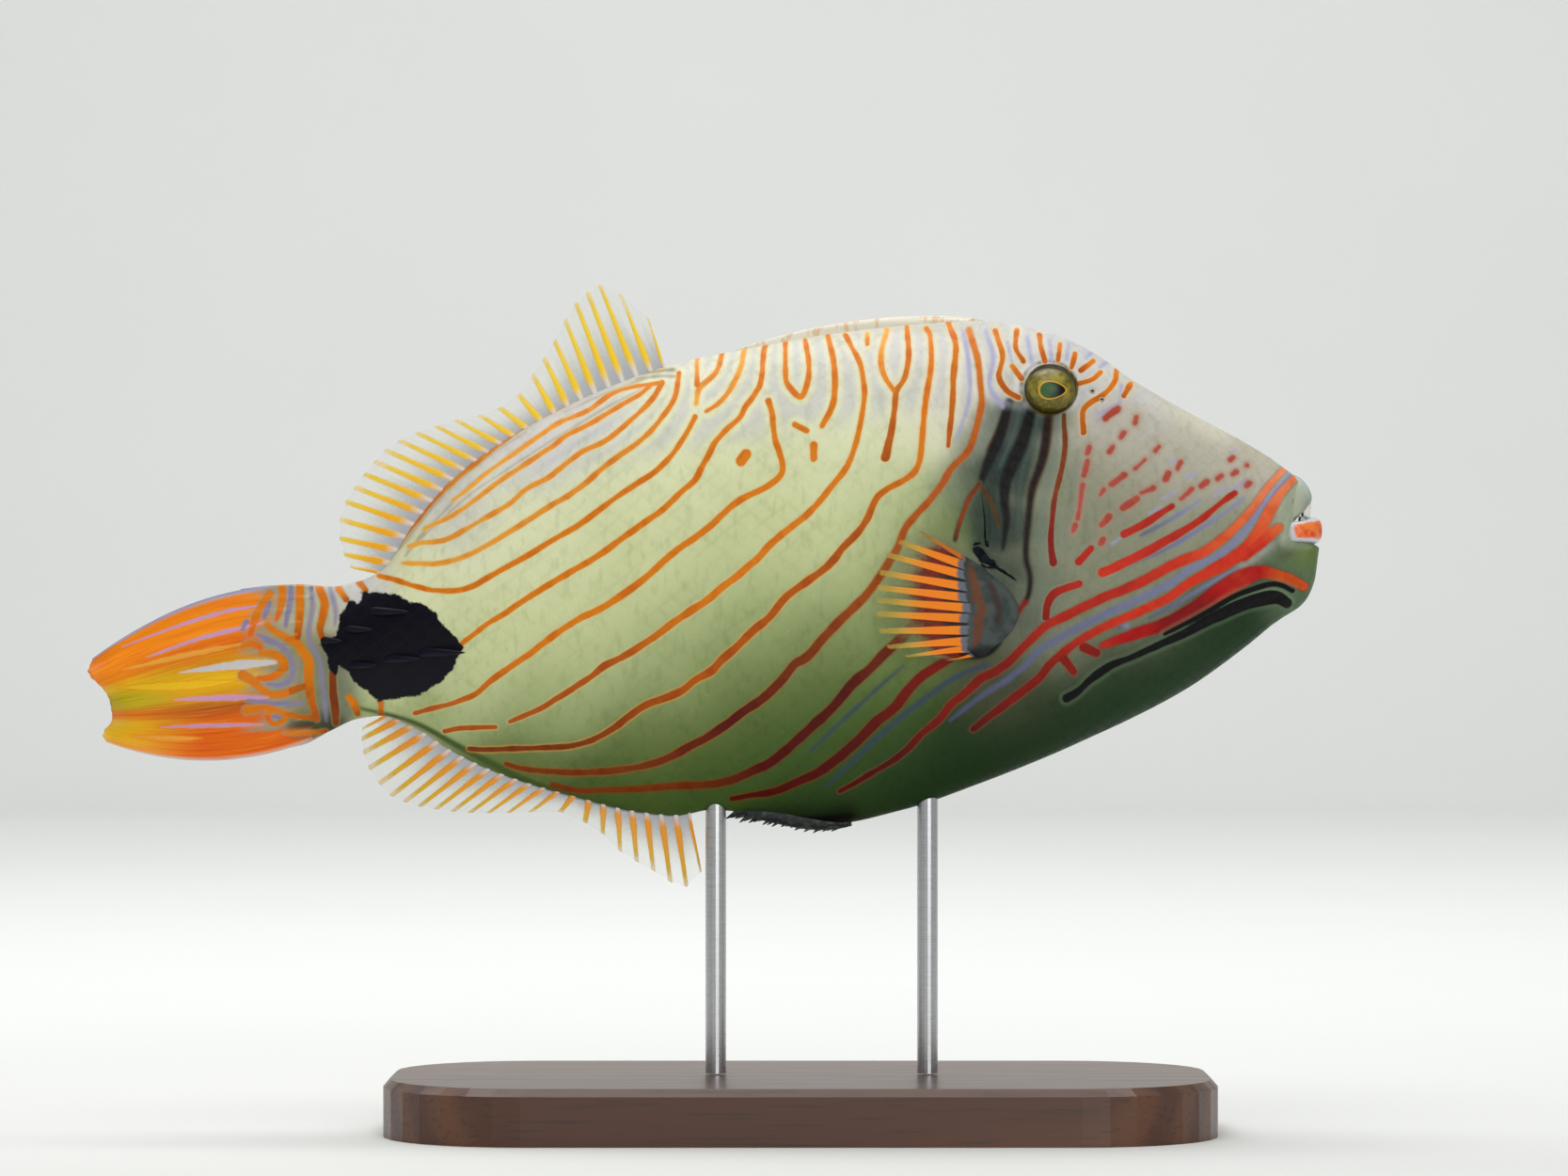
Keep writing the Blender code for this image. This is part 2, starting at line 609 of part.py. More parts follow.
def gill_slits():
    made = []
    for side in (-1, 1):
        rings = []
        for share in np.linspace(0, 1, 9):
            spot = share * (len(GILL_SLIT) - 1)
            along, height = between(np.array(GILL_SLIT), [spot])[0]
            wide = GILL_SLIT_RADIUS * (0.35 + 0.65 * math.sin(math.pi * min(0.96, max(0.04, share))))
            skin = side * float(flank(along, height))
            rings.append([
                (along + wide * math.cos(a), skin + 2.2 * math.sin(a), height + 0.4 * wide * math.cos(a))
                for a in np.arange(8) * 2 * math.pi / 8
            ])
        made.append(lofted(f"gill_slit_{side}", rings))
    return made


def body_parts():
    """Head, trunk and tail stalk, parted by thin cuts."""
    (top_along, top_height), (low_along, low_height) = GILL_CUT
    slope = np.array([top_height - low_height, 0.0, low_along - top_along])
    slope /= np.linalg.norm(slope)
    gill = np.array([top_along, 0.0, top_height])
    tail = np.array([TAIL_CUT_ALONG, 0.0, 0.0])
    forward = np.array([1.0, 0.0, 0.0])

    head = cut_plane(body_shape("head"), gill + slope * GAP / 2, -slope)
    sockets = [eye("socket_left", 1, GAP), eye("socket_right", -1, GAP)]
    seats = [lip("upper_seat", UPPER_LIP, "flank", GAP), lip("lower_seat", LOWER_LIP, "flank", GAP)]
    combined(head, sockets + nostrils(), "DIFFERENCE")
    combined(head, [mouth_recess()], "DIFFERENCE")
    combined(head, seats, "DIFFERENCE")

    trunk = cut_plane(body_shape("trunk"), gill - slope * GAP / 2, slope)
    cut_plane(trunk, tail + forward * GAP / 2, -forward)
    combined(trunk, gill_slits(), "DIFFERENCE")

    stalk = cut_plane(body_shape("tail_stalk"), tail - forward * GAP / 2, forward)
    stalk.data.materials[0] = material("tail_skin")
    spines = []
    for side in (-1, 1):
        for number, (along, height, length) in enumerate(TAIL_SPINES):
            root = along - length
            inside = side * (float(flank(root, height)) - 1.6)
            outside = side * (float(flank(along, height)) + TAIL_SPINE_LIFT)
            radius = TAIL_SPINE_RADIUS * (0.6 + 0.04 * length)
            arch = (0, side * 0.9, 0)
            name = f"tail_spine_{side}_{number}"
            spines.append(spine(name, (root, inside, height), (along, outside, height), radius, bow=arch, sides=8))
    combined(stalk, spines, "UNION")


def stand():
    """A flat base with rounded corners, and two rods whose tops cradle the belly."""
    outline = []
    for corner, (sx, sy) in enumerate(((1, 1), (-1, 1), (-1, -1), (1, -1))):
        centre_x = sx * (BASE_LENGTH / 2 - BASE_CORNER)
        centre_y = sy * (BASE_DEPTH / 2 - BASE_CORNER)
        for angle in np.radians(np.linspace(0, 90, 9) + 90 * corner):
            outline.append((centre_x + BASE_CORNER * math.cos(angle), centre_y + BASE_CORNER * math.sin(angle)))
    chamfer = 1.6
    levels = ((0.0, 0.0), (BASE_HEIGHT - chamfer, 0.0), (BASE_HEIGHT, chamfer))
    rings = []
    for height, inset in levels:
        shrink_x, shrink_y = 1 - 2 * inset / BASE_LENGTH, 1 - 2 * inset / BASE_DEPTH
        rings.append([(x * shrink_x, y * shrink_y, height) for x, y in outline])
    lofted("stand_base", rings, "base_wood")
    for name, along in ROD_PLACES.items():
        low, high = BASE_HEIGHT + GAP, float(belly(along)) + ROD_RISE
        circle = np.arange(20) * 2 * math.pi / 20
        rings = [
            [(along + ROD_RADIUS * math.cos(a), ROD_RADIUS * math.sin(a), z) for a in circle] for z in (low, high)
        ]
        seated(lofted(name, rings, "rod_steel"))


def smooth_all():
    for owner in bpy.context.scene.objects:
        if not owner.name.startswith("stand_base"):
            owner.data.shade_smooth()
            owner.data.set_sharp_from_angle(angle=math.radians(40))


def main():
    for old in list(bpy.data.objects):
        bpy.data.objects.remove(old)
    body_parts()
    soft_dorsal_fin()
    anal_fin()
    caudal_fin()
    pectoral_fin("pectoral_fin_right", -1)
    pectoral_fin("pectoral_fin_left", 1)
    first_dorsal_fin()
    pelvic_flap()
    eye("eye_right", -1)
    eye("eye_left", 1)
    lip("upper_lip", UPPER_LIP, "upper_lip")
    lip("lower_lip", LOWER_LIP, "lower_lip")
    teeth("upper_teeth", UPPER_TEETH)
    teeth("lower_teeth", LOWER_TEETH)
    stand()
    smooth_all()


main()
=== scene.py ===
import math
import bpy
import mathutils
import numpy as np
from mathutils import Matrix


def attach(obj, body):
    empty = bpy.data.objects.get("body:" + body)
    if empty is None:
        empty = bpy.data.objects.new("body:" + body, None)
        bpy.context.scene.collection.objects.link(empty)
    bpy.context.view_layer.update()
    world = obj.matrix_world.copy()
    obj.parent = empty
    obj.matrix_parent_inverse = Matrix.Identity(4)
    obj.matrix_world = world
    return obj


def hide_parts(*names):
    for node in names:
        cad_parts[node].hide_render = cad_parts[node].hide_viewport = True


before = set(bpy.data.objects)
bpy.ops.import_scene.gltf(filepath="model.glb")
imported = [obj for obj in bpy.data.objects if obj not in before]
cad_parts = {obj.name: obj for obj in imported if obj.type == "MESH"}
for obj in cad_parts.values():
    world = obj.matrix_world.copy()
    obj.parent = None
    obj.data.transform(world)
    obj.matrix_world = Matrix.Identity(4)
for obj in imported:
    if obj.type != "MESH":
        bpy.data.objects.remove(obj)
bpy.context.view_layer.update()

mm = 0.001
print("frame loaded", sorted(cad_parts))

# Every flat drawing of the fish below is one side view, right side out, in the photograph's pixels.
# Its points were read off enlargements with a grid: 5 to a millimetre, x from the tail to the
# snout and y downwards.
drawing = dict(stepsPerMm=5.0, alongZero=851, heightZero=1202)

camera = dict(lens=150.0, sensor=36.0, frameWide=1667 / 5.0, centre=(-3.5, 115.4))
camera["away"] = camera["frameWide"] * camera["lens"] / camera["sensor"]

# sRGB paints, from colours printed at chosen points of the photograph and then adjusted
paints = dict(
    cream=(226, 222, 203), pearl=(208, 206, 204), lilac=(142, 145, 190), lilacPale=(184, 178, 196),
    straw=(228, 231, 188), lime=(214, 220, 168), sage=(170, 184, 128), moss=(104, 122, 66),
    olive=(74, 98, 50), deepGreen=(42, 62, 40), chinGreen=(96, 116, 88), mossBright=(112, 130, 70),
    snoutGrey=(188, 182, 166), cheekGrey=(142, 144, 120), shadeGrey=(96, 92, 74), amber=(240, 170, 70),
    orange=(222, 128, 34), rust=(182, 92, 28), umber=(134, 66, 26), maroon=(92, 34, 18),
    brick=(136, 40, 28), red=(186, 52, 40), scarlet=(212, 60, 42), coral=(232, 108, 62),
    salmon=(236, 142, 102), ink=(2, 5, 8), brown=(104, 62, 34), halo=(230, 198, 128),
    dashRed=(180, 84, 70), dashEdge=(176, 136, 118), slate=(84, 90, 122), lilacGrey=(196, 197, 204),
    barWine=(14, 6, 9), umberShade=(92, 62, 34), redEdge=(136, 84, 62), teal=(46, 60, 56),
    duskGrey=(62, 72, 64), dusk=(80, 90, 82), mistGrey=(104, 117, 100), mistBlue=(118, 132, 122),
    duskBlue=(90, 106, 100), slateDark=(62, 76, 96), ringOlive=(88, 78, 40), lilacSoft=(164, 162, 204),
    pink=(208, 158, 190), orangeBright=(250, 142, 14), orangeDeep=(232, 108, 10),
    amberDeep=(222, 156, 22), yellowOlive=(188, 176, 24), yellow=(240, 196, 40), crimson=(178, 34, 34),
    bloodRed=(138, 26, 28), orangeRed=(208, 86, 36), oliveTan=(158, 146, 92), tanLight=(190, 184, 158),
    tanGrey=(160, 154, 128), sageGrey=(126, 132, 108), darkOlive=(70, 68, 50), lilacDusk=(142, 134, 166),
    foldGrey=(162, 154, 130), chinPale=(122, 142, 112), foldDark=(132, 124, 98), gillMist=(88, 102, 84),
    barBrown=(40, 20, 16), rustDark=(104, 54, 30),
)


def linear(rgb):
    c = np.asarray(rgb, float) / 255
    c = np.where(c <= 0.04045, c / 12.92, ((c + 0.055) / 1.055) ** 2.4)
    return np.maximum(c - 0.012, 0.3 * c)  # the gloss puts a little white back


def paint(name):
    return linear(paints[name])


def toMm(points):
    p = np.asarray(points, float)
    along, height = p[:, 0] - drawing["alongZero"], drawing["heightZero"] - p[:, 1]
    return np.stack([along, height], axis=1) / drawing["stepsPerMm"]


def smoothCurve(points, step=0.6):
    # Catmull-Rom through given points, in mm
    p = np.asarray(points, float)
    if len(p) < 3:
        count = max(2, int(np.linalg.norm(p[-1] - p[0]) / step))
        return p[0] + (p[-1] - p[0]) * np.linspace(0, 1, count)[:, None]
    p = np.vstack([2 * p[0] - p[1], p, 2 * p[-1] - p[-2]])
    out = []
    for i in range(1, len(p) - 2):
        count = max(2, int(np.linalg.norm(p[i + 1] - p[i]) / step))
        t = np.arange(count)[:, None] / count
        out.append(0.5 * (2 * p[i] + (p[i + 1] - p[i - 1]) * t
                          + (2 * p[i - 1] - 5 * p[i] + 4 * p[i + 1] - p[i + 2]) * t**2
                          + (3 * p[i] - p[i - 1] - 3 * p[i + 1] + p[i + 2]) * t**3))
    out.append(p[-2:-1])
    return np.vstack(out)


def through(keys, at, column=1):
    # smooth curve through rows of keys that never overshoots
    xs = np.array([k[0] for k in keys], float)
    ys = np.array([k[column] for k in keys], float)
    gap = np.diff(xs)
    slope = np.diff(ys) / gap
    bend = np.zeros(len(xs))
    bend[0], bend[-1] = slope[0], slope[-1]
    for i in range(1, len(xs) - 1):
        if slope[i - 1] * slope[i] > 0:
            left, right = 2 * gap[i] + gap[i - 1], gap[i] + 2 * gap[i - 1]
            bend[i] = (left + right) / (left / slope[i - 1] + right / slope[i])
    at = np.clip(np.asarray(at, float), xs[0], xs[-1])
    i = np.clip(np.searchsorted(xs, at) - 1, 0, len(gap) - 1)
    t = (at - xs[i]) / gap[i]
    return (ys[i] * (1 + 2 * t) * (1 - t) ** 2 + bend[i] * gap[i] * t * (1 - t) ** 2
            + ys[i + 1] * t * t * (3 - 2 * t) + bend[i + 1] * gap[i] * t * t * (t - 1))


def smooth(low, high, value):
    t = np.clip((np.asarray(value, float) - low) / (high - low), 0, 1)
    return t * t * (3 - 2 * t)


# shader helpers
class Wire:
    # a socket that takes part in sums
    def __init__(self, tree, socket):
        self.tree, self.socket = tree, socket

    def maths(self, operation, *others):
        node = self.tree.nodes.new("ShaderNodeMath")
        node.operation = operation
        for slot, term in enumerate((self, *others)):
            if isinstance(term, Wire):
                self.tree.links.new(term.socket, node.inputs[slot])
            else:
                node.inputs[slot].default_value = term
        return Wire(self.tree, node.outputs[0])

    def __add__(self, other):
        return self.maths("ADD", other)

    def __sub__(self, other):
        return self.maths("SUBTRACT", other)

    def __mul__(self, other):
        return self.maths("MULTIPLY", other)

    def __rsub__(self, other):
        return self.maths("MULTIPLY", -1.0) + other

    __radd__ = __add__
    __rmul__ = __mul__


class Finish:
    # one material and its nodes
    def __init__(self, name, roughness=0.45, **constants):
        self.material = bpy.data.materials.new(name)
        self.material.use_nodes = True
        self.tree = self.material.node_tree
        self.shader = self.tree.nodes["Principled BSDF"]
        self.shader.inputs["Roughness"].default_value = roughness
        for socket, value in constants.items():
            self.shader.inputs[socket.replace("_", " ")].default_value = value

    def add(self, kind, settings=None, sockets=None, out=0):
        node = self.tree.nodes.new(kind)
        for key, value in (settings or {}).items():
            setattr(node, key, value)
        for key, value in (sockets or {}).items():
            if isinstance(value, Wire):
                self.tree.links.new(value.socket, node.inputs[key])
            else:
                node.inputs[key].default_value = value
        return Wire(self.tree, node.outputs[out])

    def value(self, name):
        return self.add("ShaderNodeAttribute", {"attribute_name": name}, out="Fac")

    def colour(self, name):
        return self.add("ShaderNodeAttribute", {"attribute_name": name}, out="Color")

    def place(self, scale=(1, 1, 1), turn=(0, 0, 0)):
        where = self.add("ShaderNodeTexCoord", out="Object")
        return self.add("ShaderNodeMapping", None, {"Vector": where, "Scale": scale, "Rotation": turn})

    def noise(self, perMm, detail=2.0, stretch=(1, 1, 1), where=None):
        where = where or self.place(tuple(1000 * s for s in stretch))
        return self.add("ShaderNodeTexNoise", None, {"Vector": where, "Scale": perMm, "Detail": detail})

    def step(self, value, low, high):
        return self.add("ShaderNodeMapRange", {"interpolation_type": "SMOOTHSTEP"},
                        {"Value": value, "From Min": low, "From Max": high})

    def mix(self, share, first, second, blend="MIX"):
        def colour(c):
            return c if isinstance(c, Wire) else (*c, 1)
        return self.add("ShaderNodeMix", {"data_type": "RGBA", "blend_type": blend, "clamp_factor": True},
                        {0: share, 6: colour(first), 7: colour(second)}, out=2)

    def bump(self, height, distance, strength):
        return self.add("ShaderNodeBump", None,
                        {"Height": height, "Distance": distance * mm, "Strength": strength})

    def feed(self, **sockets):
        for name, wire in sockets.items():
            self.tree.links.new(wire.socket, self.shader.inputs[name.replace("_", " ")])
        return self.material


# mesh helpers
def piece(name, points, faces, material, attributes=None):
    mesh = bpy.data.meshes.new(name)
    points = np.asarray(points, float) * mm
    mesh.from_pydata(points.tolist(), [], [tuple(int(v) for v in f) for f in faces])
    mesh.validate()
    for key, values in (attributes or {}).items():
        values = np.asarray(values, float)
        if values.ndim == 1:
            store = mesh.attributes.new(key, "FLOAT", "POINT")
            store.data.foreach_set("value", values.astype(np.float32))
        else:
            store = mesh.attributes.new(key, "FLOAT_COLOR", "POINT")
            withAlpha = np.hstack([values, np.ones((len(values), 1))])
            store.data.foreach_set("color", withAlpha.astype(np.float32).ravel())
    mesh.shade_smooth()
    mesh.materials.append(material)
    made = bpy.data.objects.new(name, mesh)
    bpy.context.scene.collection.objects.link(made)
    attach(made, "root")
    return made


def gridFaces(rows, columns, closed=False, start=0, flip=False):
    faces = []
    wide = columns if closed else columns - 1
    for i in range(rows - 1):
        for j in range(wide):
            k = (j + 1) % columns
            row, above = start + i * columns, start + (i + 1) * columns
            face = (row + j, row + k, above + k, above + j)
            faces.append(face[::-1] if flip else face)
    return faces


def thinSheet(near, far):
    # closed solid between two grids; near faces -Y
    rows, columns = near.shape[:2]
    other = rows * columns
    points = np.vstack([near.reshape(-1, 3), far.reshape(-1, 3)])
    faces = gridFaces(rows, columns) + gridFaces(rows, columns, start=other, flip=True)
    rim = [(0, j) for j in range(columns)] + [(i, columns - 1) for i in range(1, rows)]
    rim += [(rows - 1, j) for j in range(columns - 2, -1, -1)] + [(i, 0) for i in range(rows - 2, 0, -1)]
    edge = [i * columns + j for i, j in rim]
    faces += [(b, a, other + a, other + b) for a, b in zip(edge, edge[1:] + edge[:1])]
    return points, faces


def tube(rings):
    # closed solid through rings of points, capped by a fan at each end
    count, around = len(rings), len(rings[0])
    points = [tuple(p) for ring in rings for p in ring]
    faces = gridFaces(count, around, closed=True)
    for ring, flip in ((0, True), (count - 1, False)):
        points.append(tuple(np.mean(rings[ring], axis=0)))
        centre = len(points) - 1
        for j in range(around):
            face = (ring * around + j, ring * around + (j + 1) % around, centre)
            faces.append(face[::-1] if flip else face)
    return points, faces


def joined(parts):
    points, faces = [], []
    for somePoints, someFaces in parts:
        start = len(points)
        points += [tuple(p) for p in somePoints]
        faces += [tuple(start + v for v in f) for f in someFaces]
    return points, faces


def ballAt(centre, radii, around, rings):
    points = []
    for i in range(1, rings):
        a = math.pi * i / rings
        for j in range(around):
            b = 2 * math.pi * j / around
            p = (math.sin(a) * math.cos(b), math.cos(a), math.sin(a) * math.sin(b))
            points.append(tuple(np.asarray(centre) + np.array(p) * radii))
    faces = gridFaces(rings - 1, around, closed=True)
    for ring, sign, flip in ((0, 1, True), (rings - 2, -1, False)):
        points.append(tuple(np.asarray(centre) + np.array((0, sign, 0)) * radii))
        for j in range(around):
            face = (ring * around + j, ring * around + (j + 1) % around, len(points) - 1)
            faces.append(face[::-1] if flip else face)
    return points, faces


# the markings, drawn as lines on the side view
# each: points, half widths in mm along it, core paints along it, and the paint of its soft edge
flankLines = dict(
    sheath=([(398, 603), (422, 579), (442, 555), (459, 533), (483, 511), (507, 491), (534, 470),
        (568, 446), (602, 429), (636, 411), (670, 395), (704, 389)], (.4, .4), ("orange", "amber"),
        "halo"),
    rearOne=([(481, 532), (500, 518), (520, 501), (541, 486), (564, 470), (588, 453), (609, 443),
        (626, 436), (656, 416), (704, 406)], (.3, .4, .3), ("amber", "orange"), "halo"),
    rearTwo=([(451, 562), (466, 555), (483, 547), (507, 530), (527, 514), (547, 501), (568, 487),
        (588, 474), (602, 463), (622, 453), (643, 441), (663, 429), (680, 419), (690, 411)],
        (.3, .42, .35), ("amber", "orange"), "halo"),
    rearThree=([(435, 581), (449, 577), (473, 574), (496, 562), (517, 550), (541, 536), (561, 519),
        (581, 509), (598, 496), (619, 480), (643, 469), (663, 453), (680, 438), (692, 426), (699, 416),
        (704, 406)], (.35, .45, .45), ("amber", "orange"), "halo"),
    rearFour=([(428, 598), (442, 599), (466, 599), (490, 593), (510, 584), (534, 570), (558, 555),
        (581, 540), (602, 528), (622, 514), (639, 499), (656, 486), (673, 474), (690, 460), (702, 446),
        (714, 429), (719, 416), (722, 397)], (.35, .5, .5, .4), ("amber", "orange"), "halo"),
    rearFive=([(403, 612), (422, 617), (441, 623), (458, 627), (479, 628), (490, 627), (505, 622),
        (520, 613), (551, 596), (568, 586), (588, 574), (612, 560), (636, 543), (656, 528), (677, 514),
        (697, 501), (714, 484), (724, 470), (734, 453), (739, 443)], (.4, .55, .55, .45),
        ("orange", "orange"), "halo"),
    rearFiveTop=([(740, 429), (743, 414), (755, 402), (763, 392), (768, 374)], (.4, .4),
        ("amber", "orange"), "halo"),
    midOne=([(491, 684), (505, 673), (520, 662), (538, 651), (556, 639), (573, 628), (598, 613),
        (619, 601), (643, 586), (666, 569), (690, 552), (707, 540), (724, 523), (738, 511), (746, 497),
        (755, 480), (760, 470), (772, 457), (787, 443), (792, 433), (799, 424), (804, 416), (809, 406),
        (812, 375), (814, 367)], (.4, .6, .65, .6, .5, .4), ("orange", "orange"), "halo"),
    midTwo=([(441, 758), (460, 753), (483, 747), (505, 738), (520, 725), (542, 709), (563, 695),
        (584, 679), (601, 667), (619, 656), (640, 646), (661, 633), (690, 611), (714, 589), (738, 572),
        (755, 559), (772, 543), (789, 530), (812, 519), (829, 506), (832, 494), (828, 480), (824, 467),
        (822, 453), (821, 440), (817, 426)], (.4, .6, .7, .7, .65, .5),
        ("rust", "orange", "orange", "orange", "orange"), "halo"),
    midThree=([(473, 777), (494, 774), (527, 773)], (.4, .45, .3), ("rust", "rust"), "halo"),
    midThreeOn=([(542, 767), (559, 760), (577, 752), (594, 741), (612, 730), (630, 718), (644, 707),
        (661, 699), (679, 688), (697, 676), (714, 663), (732, 651), (750, 639), (767, 625), (785, 611),
        (806, 593), (820, 578), (839, 562), (858, 547), (874, 530), (885, 516), (901, 495), (910, 470),
        (916, 443), (919, 420), (918, 405), (914, 385), (905, 368), (899, 356)],
        (.45, .65, .75, .75, .65, .5, .4), ("rust", "rust", "orange", "orange", "orange", "orange"),
        "halo"),
    lowOne=([(499, 796), (517, 797), (542, 796), (570, 795), (591, 794), (612, 792), (633, 785),
        (654, 773), (668, 762), (686, 750), (704, 743), (725, 734), (739, 723), (757, 713), (767, 702),
        (785, 686), (799, 672), (820, 654), (835, 635), (858, 618), (881, 601), (897, 581), (912, 566),
        (922, 551), (931, 531), (943, 520), (962, 510), (974, 499), (979, 481), (981, 455), (985, 420),
        (990, 389), (989, 358), (985, 349)], (.4, .5, .7, .8, .8, .75, .6, .5, .4), ("umber", "umber",
        "rust", "rust", "rust", "orange", "orange"), "amber"),
    lowTwo=([(538, 812), (556, 817), (584, 820), (612, 821), (640, 820), (668, 817), (693, 812),
        (714, 804), (732, 794), (753, 783), (774, 769), (792, 755), (813, 741), (831, 723), (845, 706),
        (858, 698), (881, 672), (905, 648), (924, 629), (943, 601), (955, 581), (962, 562), (974, 547),
        (989, 531), (1003, 512), (1012, 497), (1028, 481), (1036, 462), (1043, 432), (1043, 416),
        (1040, 385), (1035, 366), (1030, 351)], (.4, .6, .75, .9, .9, .85, .7, .6, .55, .5), ("umber",
        "umber", "maroon", "umber", "rust", "rust", "orange"), "rust"),
    lowThree=([(587, 834), (612, 840), (647, 840), (683, 838), (718, 835), (753, 834), (778, 829),
        (799, 820), (820, 810), (843, 791), (866, 770), (889, 748), (908, 725), (924, 712), (939, 696),
        (953, 683), (982, 655)], (.35, .55, .8, .95, 1.0, .9),
        ("umber", "umber", "maroon", "maroon", "umber"), "umber"),
    lowFour=([(778, 849), (799, 845), (820, 842), (843, 833), (870, 821), (893, 804), (912, 787),
        (931, 768), (951, 752), (966, 733), (981, 718), (997, 708), (1012, 698)], (.4, .8, 1.0, 1.0, .9),
        ("maroon", "maroon", "brick"), "umber"),
    lowFive=([(893, 841), (908, 833), (928, 821), (947, 810), (966, 795), (981, 779), (997, 766),
        (1012, 748), (1028, 735), (1043, 721), (1058, 714), (1074, 702), (1089, 687), (1110, 667),
        (1130, 656), (1169, 637), (1204, 623), (1229, 610), (1254, 597), (1279, 587), (1304, 569),
        (1324, 549), (1341, 527), (1353, 512), (1364, 500)],
        (.35, .6, .75, .85, .85, .9, 1.0, 1.0, .8, .6), ("maroon", "maroon", "brick", "brick", "red",
        "red", "scarlet", "coral", "salmon"), "redEdge"),
    lowSix=([(1035, 775), (1051, 762), (1070, 748), (1089, 733), (1105, 720), (1116, 706), (1130, 694),
        (1149, 680), (1179, 664), (1209, 651), (1241, 636), (1266, 619), (1299, 601), (1324, 584),
        (1338, 566), (1351, 541), (1363, 523), (1378, 507)], (.65, .8, .8, .8, .85, 1.0, 1.4, 1.2, .7),
        ("maroon", "brick", "brick", "red", "scarlet", "scarlet", "scarlet", "scarlet", "coral",
        "salmon"), "redEdge"),
    cornerHook=([(1322, 588), (1346, 571), (1360, 561)], (1.6, 1.4, .9), ("scarlet", "scarlet", "coral"),
        "redEdge"),
    blobOne=([(1129, 698), (1141, 714)], (.9, .8), ("brick", "brick"), "redEdge"),
    blobTwo=([(1152, 688), (1165, 694)], (1.0, .9), ("brick", "brick"), "redEdge"),
    jawBand=([(1172, 686), (1200, 676), (1240, 663), (1260, 653), (1280, 640), (1300, 627), (1320, 615),
        (1340, 608), (1360, 612), (1376, 618), (1386, 623)], (.6, .95, 1.15, 1.25, 1.35, 1.5, 1.8, 1.9,
        1.25, 1.1, .9), ("red", "crimson", "crimson", "bloodRed", "bloodRed", "bloodRed", "crimson",
        "red", "crimson", "orangeRed", "orangeRed"), "bloodRed"),
    cheekHook=([(1112, 656), (1114, 641), (1124, 629), (1147, 621)], (.75, .85, .8), ("brick", "red"),
        "cheekGrey"),
    cheekOne=([(1172, 609), (1204, 594), (1241, 574), (1274, 554), (1299, 534), (1313, 524)],
        (1.0, .95, .75, .5), ("scarlet", "red", "red"), "cheekGrey"),
    cheekTwo=([(1195, 568), (1216, 557), (1246, 538)], (.85, .8, .5), ("red", "red"), "cheekGrey"),
    cheekDash=([(1147, 597), (1160, 583)], (.8, .7), ("red", "red"), "cheekGrey"),
    eyeTailFour=([(1131, 441), (1132, 477), (1127, 506), (1122, 526), (1119, 549), (1117, 577),
        (1120, 598)], (.4, .42, .42, .42, .45, .5, .85), ("brown", "umber", "umber", "brick", "brick"),
        "cheekGrey"),
    napeLeft=([(1041, 514), (1030, 530), (1024, 545), (1019, 560), (1015, 574)], (.4, .5, .45, .45, .3),
        ("rustDark", "umber", "umber", "umberShade"), "gillMist"),
    topOne=([(1008, 343), (1016, 366), (1014, 397), (1012, 435), (1008, 474)], (.45, .6, .6, .4),
        ("orange", "rust"), "halo"),
    topTwo=([(964, 347), (966, 378), (962, 401), (953, 416), (951, 435), (947, 462), (941, 486)],
        (.4, .5, .55, .9), ("orange", "rust"), "halo"),
    topTwoFork=([(943, 351), (937, 374), (939, 397), (951, 416)], (.4, .5, .4), ("amber", "orange"),
        "halo"),
    topThree=([(922, 355), (922, 366)], (.35, .35), ("amber", "orange"), "halo"),
    topLoop=([(835, 364), (835, 393), (837, 408), (851, 422), (858, 408), (860, 389), (856, 362)],
        (.4, .55, .4), ("orange", "orange"), "halo"),
    topFour=([(880, 356), (885, 378), (888, 405), (885, 431), (874, 453)], (.45, .6, .5),
        ("orange", "orange"), "halo"),
    streak=([(845, 451), (858, 458)], (.55, .45), ("orange", "orange"), "halo"),
    dotOne=([(865, 473), (865, 487)], (.75, .8), ("orange", "orange"), "halo"),
    dotTwo=([(793, 483), (788, 490)], (1.1, 1.1), ("orange", "orange"), "halo"),
    topFive=([(792, 368), (787, 392), (775, 416), (762, 430), (751, 437)], (.4, .45, .4),
        ("amber", "orange"), "halo"),
    topSix=([(741, 378), (741, 409)], (.35, .35), ("amber", "orange"), "halo"),
)
tailLilacs = dict(
    one=([(309, 622), (309, 640), (305, 655), (304, 666)], (.35, .5, .5, .2)),
    two=([(331, 624), (332, 645), (329, 665), (329, 680), (335, 692), (341, 706), (342, 724), (345, 745),
        (347, 766)], (.3, .5, .55, .5, .35, .35, .45, .5, .2)),
    three=([(351, 624), (354, 636), (357, 650), (356, 664)], (.3, .5, .5, .2)),
    four=([(287, 640), (284, 648), (281, 656)], (.3, .5, .3)),
    five=([(275, 675), (285, 680), (300, 688), (308, 697), (312, 710), (309, 722), (298, 728),
        (284, 727)], (.3, .6, .5, .45, .6, .6, .4, .2)),
    six=([(262, 661), (258, 668)], (.5, .5)),
    seven=([(262, 744), (285, 747), (305, 748), (322, 748)], (.3, .35, .35, .4)),
    eight=([(291, 761), (298, 763)], (.35, .35)),
)
